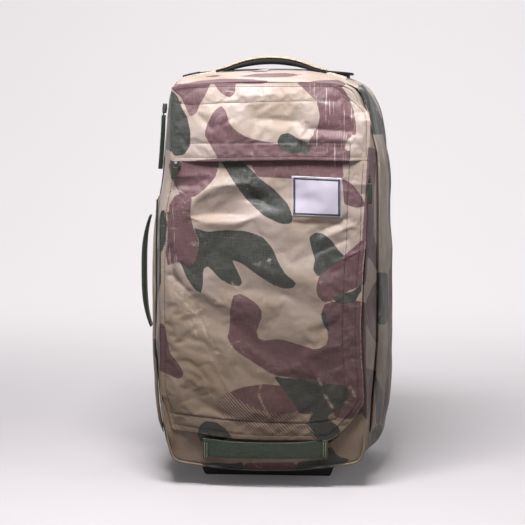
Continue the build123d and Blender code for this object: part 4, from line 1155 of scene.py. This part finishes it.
def seen_line(pixels, count, soften=0.0012, depth=FRONT_DEPTH):
    return smooth_line(pixels_on_plane(pixels, depth), count, soften)


def seen_patch(lines, columns, rows):
    """Grid of x and z inside four boundary lines given as pixels: top, bottom, left, right."""
    counts = (columns, columns, rows, rows)
    top, bottom, left, right = (seen_line(line, count) for line, count in zip(lines, counts))
    left[0], left[-1], right[0], right[-1] = top[0], bottom[0], top[-1], bottom[-1]
    return coons(top, bottom, left, right)


def seen_distance(flat, pixels):
    """Distance of points on the front to a line given as pixels."""
    return line_distance(flat, pixels_on_plane(pixels, FRONT_DEPTH))


def near_line(flat, pixels, reach):
    """1 on a line given as pixels, falling smoothly to 0 at a few times reach, in metres."""
    return bell(seen_distance(flat, pixels), reach)


def fall_off(flat, pixels, reach):
    """1 on a boundary given as pixels, falling off exponentially over reach, in metres."""
    return np.exp(-seen_distance(flat, pixels) / reach)


def inside_edge(flat, pixels):
    """0 on a boundary given as pixels, rising straight to 1 at 20 mm from it."""
    return np.clip(seen_distance(flat, pixels) / 0.02, 0, 1)


def hollow(flat, crest, wide, high):
    """A pocket in the cloth that deepens down from its crest and ends in a short steep wall."""
    x, z = pixels_on_plane(crest, FRONT_DEPTH)[0]
    down = np.clip((z - flat[:, 1]) / (high * MM), 0, HOLLOW_END)
    profile = np.where(down < 1, down**1.15, np.clip((HOLLOW_END - down) / HOLLOW_WALL, 0, 1))
    return bell(flat[:, 0] - x, wide * MM) * profile * profile * (3 - 2 * profile)


def cloth_relief(flat, folds, stitches, seed):
    """Height of the cloth in millimetres: folds, lumps and the dip along each row of stitches."""
    spread = np.column_stack([flat[:, 0], np.zeros(len(flat)), flat[:, 1]])
    relief = 1.8 * lumps(spread, 0.07, seed) + 0.8 * lumps(spread * [1, 1, 1.5], 0.034, seed + 1)
    relief += 0.28 * lumps(spread, 0.012, seed + 2)
    for line, width, height in folds:
        share = seen_distance(flat, line) / (width * PIXEL_SIZE * MM)
        relief += 1.5 * height * np.exp(-(share**1.35))
    for line in stitches:
        row, beside = near_line(flat, line, 1.5 * MM), near_line(flat, line, 6 * MM)
        relief += beside * (0.35 * lumps(spread, 0.011, seed + 3) - 0.3) - 0.7 * row
    return relief


def sheet_from(flat, depth, shape):
    return np.column_stack([flat[:, 0], depth * MM, flat[:, 1]]).reshape(*shape, 3)


def marked(pixels, lines, power=2):
    """Sum of marks, each 1 on its line and fading out at its reach in pixels."""
    return sum(np.exp(-((line_distance(pixels, line) / reach) ** power)) for line, reach in lines)


def panel_attributes(item, grid, seed):
    """Prints the camouflage, the marks of wear and the painted highlight along the rim that are seen on the
    front.
    """
    flat = grid.reshape(-1, 3)
    pixels = pixels_of(flat)
    scuff = marked(pixels, [(line, 26) for line in SCUFFED])
    wear = np.clip(0.15 + 0.55 * scuff + 0.3 * lumps(flat, 0.05, seed), 0, 1)
    print_camo(item, flat[:, [0, 2]], seed, seen=np.ones(len(flat), bool), wear=wear,
               fray=np.clip(marked(pixels, BRUSHED, 4), 0, 1),
               hatch=np.clip(marked(pixels, HATCHED, 4), 0, 1),
               rubs=np.clip(0.8 * marked(pixels, SCRATCHES_AND_RIM_HIGHLIGHT), 0, 1))


def sewn_weights(grid, stitches):
    """1 on the rim of a panel's grid and part of that along its rows of stitches."""
    rows, columns = grid.shape[:2]
    rim = np.zeros((rows, columns))
    rim[[0, 1, -2, -1]] = 1
    rim[:, [0, 1, -2, -1]] = 1
    flat = grid.reshape(-1, 3)[:, [0, 2]]
    sewn = sum(near_line(flat, line, 2 * MM) for line in stitches)
    return np.clip(np.maximum(rim.ravel(), 0.6 * sewn), 0, 1)


def round_rim(item, width):
    """Rounds the sharp rim of a thickened sheet."""
    modifier = item.modifiers.new("rim", "BEVEL")
    modifier.width = width * MM
    modifier.segments = 2
    modifier.limit_method = "ANGLE"
    modifier.angle_limit = radians(50)
    settle(item)


def canvas_sheet(name, grid, held, room, seed, thickness, rim, *nodes):
    """A printed sheet of the lid: buckled as cloth, thickened and rounded at its rim."""
    item = grid_object(name, grid, flip=True)
    paint(item, "camo_canvas")
    settle_cloth(item, held, room)
    panel_attributes(item, grid, seed)
    thicken(item, thickness * MM)
    round_rim(item, rim)
    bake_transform(item)
    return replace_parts(item, *nodes)


def build_front_panel():
    """The large pocket's front and the flap below it, sunk in places and tucked under the yoke."""
    columns, rows = 150, 190
    plan = seen_patch((PANEL_TOP, PANEL_BOTTOM, PANEL_LEFT, PANEL_RIGHT), columns, rows)
    flat = plan.reshape(-1, 2)
    edge = np.vstack([PANEL_RIGHT[1:], PANEL_BOTTOM[::-1]])
    swell = PANEL_SWELL + 3.0 * bell(flat[:, 1] - 0.34, 0.13)
    swell -= 10.5 * fall_off(flat, PANEL_LEFT, 0.022) + 5.8 * fall_off(flat, edge, 0.02)
    swell = np.maximum(swell, LEAST_SWELL)
    tucked = near_line(flat, PANEL_TOP, 0.016)
    swell += (TUCKED_SWELL - swell) * tucked * (flat[:, 0] > -0.13)
    slider = ramp(flat[:, 1], 0.438, 0.014) * ramp(flat[:, 0], 0.125, 0.02)
    swell += (SLIDER_SWELL - swell) * slider
    hold = inside_edge(flat, PANEL_LEFT) * (1 - slider) * (1 - tucked)
    relief = cloth_relief(flat, PANEL_FOLDS, PANEL_STITCHES, 5)
    relief -= sum(deep * hollow(flat, crest, wide, high) for crest, wide, high, deep in HOLLOWS)
    grid = sheet_from(flat, -(swell + relief * hold), (rows, columns))
    held = np.clip(sewn_weights(grid, PANEL_STITCHES) + 1.4 * tucked, 0, 1)
    room = 4.5 * MM * (1 - slider * 0.9)
    return canvas_sheet("front_panel", grid, held, room, 6, 2.4, 0.8, "lid_flap", "front_pocket")


HEM = ((0.9, 0.5), (1.3, 1.8), (0.9, 3.0), (-0.6, 3.7), (-9, 3.9), (-18, 3.4))


def build_yoke():
    """Upper part of the front, whose lower edge is folded over the pocket's zipper."""
    columns, rows = 150, 62
    plan = seen_patch((YOKE_TOP, YOKE_FOLD, YOKE_LEFT, YOKE_RIGHT), columns, rows)
    flat = plan.reshape(-1, 2)
    swell = 126.0 - 10.5 * ramp(flat[:, 1], 0.487, 0.108) ** 1.2
    swell -= 12.0 * fall_off(flat, YOKE_LEFT, 0.022) + 8.0 * fall_off(flat, YOKE_RIGHT, 0.022)
    swell -= 5.0 * fall_off(flat, YOKE_TOP[:6], 0.016)
    swell = np.maximum(swell + 1.8 * near_line(flat, YOKE_FOLD[1:5], 0.02), LEAST_SWELL)
    slider = ramp(flat[:, 1], 0.556, -0.012) * ramp(flat[:, 0], 0.125, 0.02)
    swell += (np.maximum(swell, SLIDER_SWELL) - swell) * slider
    hold = inside_edge(flat, YOKE_LEFT) * inside_edge(flat, YOKE_TOP) * (1 - slider)
    relief = cloth_relief(flat, YOKE_FOLDS, YOKE_STITCHES, 15)
    grid = sheet_from(flat, -(swell + relief * hold), (rows, columns))
    hem = [grid[-1] + np.array([0, inwards, -drop]) * MM for drop, inwards in HEM]
    grid = np.vstack([grid, hem])
    held = sewn_weights(grid, YOKE_STITCHES)
    held[-columns * 8 :] = 1
    return canvas_sheet("front_yoke", grid, held, 3.5 * MM, 16, 1.2, 0.5, "pocket_yoke")


ZIP_OUTLINE = np.vstack([YOKE_TOP[:6], YOKE_RIGHT[1:], PANEL_RIGHT[1:-1], PANEL_BOTTOM[::-1]])
ZIP_PROFILE = ((5.0, -109.0), (7.0, -109.2), (8.0, -109.9), (10.0, -109.9), (11, -109.2), (14, -109))


def build_lid_zipper():
    """Zipper tape and coil under the rim of the lid."""
    outer = seen_line(ZIP_OUTLINE, 420, 0.003)
    run = np.gradient(outer, axis=0)
    run /= np.linalg.norm(run, axis=1)[:, None]
    inwards = np.column_stack([run[:, 1], -run[:, 0]])
    grid = np.array([flat_ring(outer + inwards * inset * MM, depth) for inset, depth in ZIP_PROFILE])
    item = grid_object("lid_zip_coil", grid)
    face_front(item)
    paint(item, "zip_coil")
    thicken(item, 0.8 * MM)
    seat(item, "zip_coil", "front_case", "lid_zipper")


def build_lid_lining():
    """Lining that closes the back of the lid."""
    columns, rows = 40, 60
    left, right = np.vstack([YOKE_LEFT, PANEL_LEFT[1:]]), np.vstack([YOKE_RIGHT, PANEL_RIGHT])
    plan = seen_patch((YOKE_TOP, PANEL_BOTTOM, left, right), columns, rows).reshape(-1, 2)
    flat = plan.mean(0) + (plan - plan.mean(0)) * 0.93
    flat[:, 0] += 0.003
    spread = np.column_stack([flat[:, 0], np.zeros(len(flat)), flat[:, 1]])
    depth = -111.2 + 0.5 * lumps(spread, 0.05, 25)
    item = grid_object("lid_lining", sheet_from(flat, depth, (rows, columns)), flip=True)
    paint(item, "lining_fabric")
    keep_place(item, spread[:, [0, 2, 1]])
    thicken(item, 1.2 * MM)
    seat(item, "lining_fabric", "lid", "lid_pad")


# ---------------------------------------------------------------- stitches
IN_FRONT = -0.2
INTO_FRONT = (0, 1, 0)
STITCH = ((-1.3, 0.14), (-0.9, 0.42), (0.9, 0.42), (1.3, 0.14))
STITCH_SIDES = 5


def add_stitches(name, tree, lines, body=None, finish="thread", pitch=3.6):
    """Rows of stitches laid on a surface, joined to a body where one is given."""
    verts, faces = [], []
    sides = range(STITCH_SIDES)
    turn = np.linspace(0, 2 * pi, STITCH_SIDES, endpoint=False)
    for line in lines:
        places = np.arange(pitch / 2, along_line(line)[-1] / MM, pitch) * MM
        found, normals = drop_on(tree, resample(line, places), INTO_FRONT, 0.12 * MM)
        if len(found) < 2:
            continue
        for spot, run, normal in zip(found, np.gradient(found, axis=0), normals):
            if np.linalg.norm(run) > 2.5 * pitch * MM:
                continue
            run = run / np.linalg.norm(run)
            side = np.cross(run, normal)
            start = len(verts)
            for place, size in STITCH:
                for a in turn:
                    away = side * cos(a) + normal * sin(a)
                    verts.append(spot + (run * place + away * size) * MM)
            for row in range(start, start + 3 * STITCH_SIDES, STITCH_SIDES):
                for j in sides:
                    k = (j + 1) % STITCH_SIDES
                    faces.append([row + j, row + STITCH_SIDES + j, row + STITCH_SIDES + k, row + k])
            faces += [[start + j for j in sides], [start + 15 + j for j in reversed(sides)]]
    item = new_object(name, verts, faces)
    paint(item, finish)
    if body:
        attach(item, body)
    else:
        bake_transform(item)


def seen_rows(rows, depth=FRONT_DEPTH):
    """Lines given as pixels, as 3-D lines that stand in front of the surface."""
    lines = [seen_line(row, 200, 0.003, depth) for row in rows]
    return [np.column_stack([flat[:, 0], np.full(200, IN_FRONT), flat[:, 1]]) for flat in lines]


# ---------------------------------------------------------------- straps, handles and pulls
def tube_grid(line, across, widths, thicknesses, fullness=0.45, turns=28):
    """Grid of a flattened tube along a line; across is the direction of its width."""
    run = np.gradient(line, axis=0)
    run /= np.linalg.norm(run, axis=1)[:, None]
    across = np.asarray(across, float) - (run @ np.asarray(across, float))[:, None] * run
    across /= np.linalg.norm(across, axis=1)[:, None]
    out = np.cross(run, across)
    turn = np.linspace(0, 2 * pi, turns, endpoint=False)
    wide = np.sign(np.cos(turn)) * np.abs(np.cos(turn)) ** fullness / 2
    deep = np.sign(np.sin(turn)) * np.abs(np.sin(turn)) ** (0.4 + fullness) / 2
    widths = np.broadcast_to(np.asarray(widths, float), len(line))[:, None, None] * MM
    thicknesses = np.broadcast_to(np.asarray(thicknesses, float), len(line))[:, None, None] * MM
    return (
        line[:, None] + across[:, None] * wide[None, :, None] * widths
        + out[:, None] * deep[None, :, None] * thicknesses
    )


def strap(name, path, across, widths, thicknesses, slot, body=None, nodes=(), finish=None, count=80,
          fullness=0.45, soften=3.0):
    """Webbing or a padded tube along a path in millimetres, closed at both ends."""
    line = smooth_line(np.array(path) * MM, count, soften * MM)
    share = np.linspace(0, 1, count)
    widths, thicknesses = (
        np.interp(share, np.linspace(0, 1, len(np.atleast_1d(v))), np.atleast_1d(v))
        for v in (widths, thicknesses)
    )
    grid = tube_grid(line, across, widths, thicknesses, fullness)
    first, last = (end.mean(0) + (end - end.mean(0)) * 0.02 for end in (grid[0], grid[-1]))
    grid = np.vstack([first[None], grid, last[None]])
    item = grid_object(name, grid, wrap=True)
    paint(item, finish or slot)
    along = np.concatenate([[0], along_line(line), [along_line(line)[-1]]])
    around = np.linspace(0, 1, grid.shape[1]) * (np.mean(widths) + np.mean(thicknesses)) * 2 * MM
    keep_place(item, [(s, t, 0) for s in along for t in around])
    if body:
        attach(item, body)
    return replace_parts(item, *nodes) if nodes else item


TOP_HANDLE_DEPTH, SIDE_HANDLE_DEPTH = 64.2, 64.0


def build_top_handle():
    """Padded black core with a canvas cover over its top, sewn to the case's top at both ends."""
    half = np.array([84, 76, 66, 56, 46, 36, 24, 12, 0])
    x = np.concatenate([-half, half[-2::-1]])
    z = np.array([607.0, 608.0, 610.2, 613.6, 616.9, 619.4, 621.6, 622.9, 623.3])
    z = np.concatenate([z, z[-2::-1]])
    depth = np.full(len(x), TOP_HANDLE_DEPTH)
    pad = strap("top_handle_pad", np.column_stack([x, depth, z]), (0, 1, 0),
                (27, 28.4, 29, 29, 29, 29, 29, 29, 28.4, 27),
                (3.2, 5.5, 8.4, 10.2, 10.8, 10.8, 10.2, 8.4, 5.5, 3.2),
                "black_plastic", finish="black_webbing", count=110, fullness=0.5, soften=4)
    over = z + (5.6 - 2.8 * (np.abs(x) / 84) ** 3)
    canvas = strap("top_handle_canvas", np.column_stack([x, depth, over]), (0, 1, 0),
                   (27.4, 29.4, 30.2, 30.2, 30.2, 29.4, 27.4), (2.6, 3.4, 3.8, 3.8, 3.8, 3.4, 2.6),
                   "strap_canvas", count=110, fullness=0.6, soften=4)
    for item in (pad, canvas):
        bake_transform(item)
    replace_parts(pad, "top_handle")


def build_side_handle():
    """Padded green strap that stands off the left side in a low arch."""
    z = np.linspace(214, 386, 27)
    x = -(186.3 + 10.5 * (1 - np.abs((z - 300) / 86) ** 3.0))
    path = np.column_stack([x, np.full(len(z), SIDE_HANDLE_DEPTH), z])
    handle = strap("side_handle_strap", path, (0, 1, 0),
                   (25, 27, 28, 28, 28, 27, 25), (3.0, 5.0, 7.0, 7.6, 7.6, 7.6, 7.0, 5.0, 3.0),
                   "green_webbing", "side_handle", count=100, fullness=0.5, soften=4)
    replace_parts(handle, "side_handle")


STRAP_STITCHES = (
    px(204.6, 442.5, 204.6, 458), px(206.9, 442.5, 206.9, 458), px(323.4, 442, 323.4, 457),
    px(325.8, 442, 325.8, 457),
)


def build_bottom_handle():
    """Flat green grab strap across the front's lower edge, sewn down at both ends."""
    x = np.linspace(-88, 95, 41)
    bow = np.clip(1 - np.abs((x - 3) / 78) ** 4, 0, 1)
    path = np.column_stack([x, -(111.4 + 8.6 * bow), 60.5 - 1.8 * bow + 0.004 * x])
    pieces = [strap("bottom_strap", path, (0, 0, 1), (27, 25.5, 24, 23.6, 24, 25, 26), 3.6, "green_webbing",
                    "front_case", ("bottom_handle", "bottom_handle_tabs"), count=100, fullness=0.28,
                    soften=5)]
    for end, centre in (("left", -85), ("right", 91.5)):
        path = [(centre + step, -113.6 - step * 0.05, 59.8) for step in (-4, 0, 4)]
        pieces.append(strap("bottom_strap_end_" + end, path, (0, 0, 1), 29.4, 3.4, "green_webbing",
                            "front_case", count=12, fullness=0.28, soften=1))
    add_stitches("bottom_strap_stitches", surface_of(*pieces), seen_rows(STRAP_STITCHES), "front_case",
                 "pale_thread", 2.8)


def anchor_patch(name, centre, along, size, tree, direction, slot, nodes):
    """A sewn patch laid on the case where a handle's end is fixed; its width runs front to back."""
    length, width = size
    count = 16
    steps = np.arange(count) / (count - 1) - 0.5
    along, across, centre = (np.asarray(v, float) for v in (along, (0, 1, 0), centre))
    starts = [centre + along * i * length * MM + across * j * width * MM for i in steps for j in steps]
    found, normals = drop_on(tree, np.array(starts) - np.asarray(direction) * 0.05, direction)
    inset = np.minimum(np.arange(count), np.arange(count)[::-1])
    edge = np.minimum(inset[:, None], inset[None]).ravel() / 2.5
    lift = (0.6 + 2.0 * np.clip(edge, 0, 1) ** 0.5) * MM
    item = grid_object(name, (found + normals * lift[:, None]).reshape(count, count, 3))
    if item.data.polygons[0].normal.dot(Vector(normals[0])) < 0:
        item.data.flip_normals()
    paint(item, slot)
    keep_place(item, [(i * length * MM / count, j * width * MM / count, 0)
                      for i in range(count) for j in range(count)])
    thicken(item, 2.4 * MM)
    seat(item, slot, "rear_case", *nodes)


def build_anchor_patches(tree):
    for end, x, nodes in (("left", -99, ("top_handle_anchors",)), ("right", 99, ())):
        anchor_patch("top_handle_patch_" + end, (x * MM, TOP_HANDLE_DEPTH * MM, 0.62), (1, 0, 0), (32, 33),
                     tree, (0, 0, -1), "strap_canvas", nodes)
    for end, z, nodes in (("low", 199, ("side_handle_anchors",)), ("high", 401, ())):
        anchor_patch("side_handle_patch_" + end, (-0.19, SIDE_HANDLE_DEPTH * MM, z * MM), (0, 0, 1), (31, 31),
                     tree, (1, 0, 0), "green_webbing", nodes)


WIRE, WIRE_STEPS, WIRE_SIDES = 0.75, 24, 8
# Zip, the tape's path, its width's direction, its widths, thicknesses and count of steps, then the
# ring's centre, its width and height, and the way it faces.
PULLS = (
    ("lid", ((154.2, -118.6, 453), (154.8, -119.2, 440), (154.6, -118.4, 424)), (1, 0, 0),
     (7.5, 7.5, 6.5), (2.0, 2.6, 2.2), 24, (153.6, -118.6, 456.5), (6, 9), "y"),
    ("pocket", ((-126, -127.6, 476), (-127.6, -127.4, 468), (-129.6, -126.8, 459)), (1, 0, 0),
     (8, 8, 7), (2.0, 2.6, 2.2), 24, (-126, -127.6, 479.5), (6.4, 9), "y"),
    ("split", ((-153.4, -38, 546), (-154.6, -38, 520), (-156.6, -38, 492), (-158.8, -38, 466)),
     (0.8, 0.6, 0), (7, 7.4, 7.6), (2.2, 2.8, 2.4), 40, (-153.6, -37.4, 550), (6.4, 10), "x"),
)
SPLIT_SLIDER_PATH = ((-151.4, -37, 563), (-151.9, -37, 556), (-152.4, -37, 549))


def wire_ring(name, centre, size, faces_along, body):
    """A bent wire ring that faces along x or y; size is its width and height in millimetres."""
    turn = np.linspace(0, 2 * pi, WIRE_STEPS + 1)
    wide, high = size
    flat = np.column_stack([np.cos(turn) * wide / 2, np.zeros(len(turn)), np.sin(turn) * high / 2])
    flat[-1] = flat[0]
    across = (0, 1, 0)
    if faces_along == "x":
        flat, across = flat[:, [1, 0, 2]], (1, 0, 0)
    line = (flat + np.asarray(centre)) * MM
    grid = tube_grid(line, across, 2 * WIRE, 2 * WIRE, 1.0, WIRE_SIDES)[:-1]
    last = (WIRE_STEPS - 1) * WIRE_SIDES
    closing = [(last + j, last + (j + 1) % WIRE_SIDES, (j + 1) % WIRE_SIDES, j) for j in range(WIRE_SIDES)]
    faces = grid_faces(WIRE_STEPS, WIRE_SIDES, wrap=True) + closing
    item = new_object(name, grid.reshape(-1, 3), faces)
    paint(item, "zip_metal")
    seat(item, "zip_metal", body)


def build_pulls():
    """A wire ring and a folded green tape on each zip slider, and the split zipper's slider."""
    for zip_name, path, across, widths, thicknesses, count, centre, size, faces_along in PULLS:
        body = zip_name + "_pull"
        strap(body + "_tape", path, across, widths, thicknesses, "green_webbing", body, (body,), count=count)
        wire_ring(body + "_ring", centre, size, faces_along, body)
    strap("split_slider_body", SPLIT_SLIDER_PATH, (0, 1, 0), (8.6, 9, 7), (6, 7, 6), "zip_metal",
          "split_slider", ("split_slider",), count=24, fullness=0.5, soften=0.6)


LABEL = px(291.8, 175.8, 341.6, 178, 341.8, 217.8, 292, 215.8)
LABEL_DEPTH = -0.1215
LABEL_COLUMNS, LABEL_ROWS = 41, 33


def build_label(tree):
    """Blank woven label sewn to the front panel."""
    corners = pixels_on_plane(LABEL, LABEL_DEPTH)
    top_left, top_right, low_right, low_left = corners
    across = np.linspace(0, 1, LABEL_COLUMNS)[None, :, None]
    down = np.linspace(0, 1, LABEL_ROWS)[:, None, None]
    plan = (top_left * (1 - across) + top_right * across) * (1 - down)
    plan = plan + (low_left * (1 - across) + low_right * across) * down
    flat = plan.reshape(-1, 2)
    starts = np.column_stack([flat[:, 0], np.full(len(flat), IN_FRONT), flat[:, 1]])
    found, _ = drop_on(tree, starts, INTO_FRONT)
    edge = line_distance(flat, np.vstack([corners, corners[:1]]))
    softened = found[:, 1].reshape(LABEL_ROWS, LABEL_COLUMNS)
    for _ in range(6):
        sides = softened[1:-1, :-2] + softened[1:-1, 2:] + softened[:-2, 1:-1] + softened[2:, 1:-1]
        softened[1:-1, 1:-1] = sides / 4
    depth = softened.reshape(-1) - (0.35 + 0.6 * np.clip(edge / 0.002, 0, 1)) * MM
    depth += 0.12 * MM * lumps(found, 0.012, 45)
    grid = np.column_stack([flat[:, 0], depth, flat[:, 1]]).reshape(LABEL_ROWS, LABEL_COLUMNS, 3)
    item = grid_object("label", grid, flip=True)
    paint(item, "patch_film")
    keep_value(item, "label_edge", edge)
    thicken(item, 0.8 * MM)
    return seat(item, "patch_film", "lid", "name_patch")


def build_lid():
    """The lid's panels, lining, zipper, label and stitches."""
    panels = (build_front_panel(), build_yoke())
    build_lid_lining()
    build_lid_zipper()
    tree = surface_of(*panels)
    label = build_label(tree)
    add_stitches("panel_stitches", tree, seen_rows(PANEL_STITCHES + YOKE_STITCHES))
    tack = seen_rows([px(350.4, 143.5, 350.2, 158.5)])
    add_stitches("pocket_bartack", tree, tack, finish="green_thread", pitch=1.8)
    border = LABEL.mean(0) + (LABEL - LABEL.mean(0)) * 0.955
    border = np.vstack([border, border[:1]])
    add_stitches("label_stitches", surface_of(label), seen_rows([border], LABEL_DEPTH), "lid", pitch=2.6)


# ---------------------------------------------------------------- CAD pieces, floor and light
def dress_cad():
    """Gives each CAD piece the finish of its slot."""
    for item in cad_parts.values():
        for place in item.material_slots:
            slot = place.material.name.split(".")[0] if place.material else ""
            if slot in FINISHES:
                place.material = FINISHES[slot]


def build_floor():
    """Pale floor that curves up into a backdrop."""
    paper = Finish("paper_sweep", roughness=0.9, specular=0.1)
    seen = paper.add("LightPath", "Is Camera Ray")
    for ray in ("Is Glossy Ray", "Is Transmission Ray"):
        seen = paper.math("MAXIMUM", seen, paper.add("LightPath", ray))
    tint = paper.mix(paper.noise(paper.place(), 1.5, 2), srgb(192, 188, 190), srgb(196, 192, 194))
    paper.shader.inputs["Emission Color"].default_value = (1.0, 0.975, 0.985, 1)
    wall = paper.between(paper.add("SeparateXYZ", "Y", Vector=paper.place()), 0.2, 1.8, 0.05, 0.5)
    paper.join(paper.math("MULTIPLY", seen, wall), paper.shader.inputs["Emission Strength"])
    paper.done(paper.mix(seen, srgb(130, 126, 128), tint))
    x = np.linspace(-4.0, 4.0, 9)
    line = [(-3.6, 0.0), (-1.0, 0.0), (1.6, 0.0)]
    line += [(1.6 + 1.4 * sin(a), 1.4 - 1.4 * cos(a)) for a in np.linspace(0, pi / 2, 17)[1:]]
    line += [(3.0, 3.6)]
    grid = np.array([[(across, y, z) for across in x] for y, z in line])
    floor = grid_object("floor", grid)
    floor.data.materials.append(paper.material)


# Name, place, target, width and height, power, colour.
LAMPS = (
    ("key", (-0.08, -0.66, 1.45), (0.02, -0.1, 0.42), (0.6, 0.34), 32, (1.0, 0.98, 1.0)),
    ("left", (-2.0, -0.7, 1.0), (-0.15, 0, 0.4), (0.9, 1.2), 5, (1, 1, 1)),
    ("front", (0.3, -2.9, 1.3), (0, 0, 0.45), (1.4, 1.2), 2.5, (1, 1, 1)),
    ("side", (1.9, -0.9, 1.2), (0.15, 0, 0.45), (1.0, 1.2), 12, (1, 1, 1)),
    ("back", (0.0, 1.7, 2.4), (0, 1.2, 0.2), (2.4, 1.0), 26, (1, 1, 1)),
)


def light_scene():
    """Soft lamps and a dim even world."""
    world = bpy.data.worlds.new("studio")
    bpy.context.scene.world = world
    world.use_nodes = True
    background = world.node_tree.nodes["Background"]
    background.inputs["Color"].default_value = (0.98, 0.97, 1.0, 1)
    background.inputs["Strength"].default_value = 0.11
    for name, place, target, size, power, color in LAMPS:
        data = bpy.data.lights.new(name, "AREA")
        data.shape = "RECTANGLE"
        data.size, data.size_y = size
        data.energy = power
        data.color = color
        lamp = bpy.data.objects.new(name, data)
        lamp.location = place
        lamp.rotation_euler = (Vector(target) - Vector(place)).to_track_quat("-Z", "Y").to_euler()
        bpy.context.scene.collection.objects.link(lamp)
    bpy.context.scene.view_settings.view_transform = "Standard"


dress_cad()
build_front_case()
rear_shell = build_rear_case()
build_back()
build_storm_band()
build_split_zipper()
build_linings()
build_split_garage()
build_piping()
build_lid()
build_top_handle()
build_side_handle()
build_bottom_handle()
build_pulls()
build_anchor_patches(surface_of(rear_shell))
build_floor()
light_scene()
add_camera()
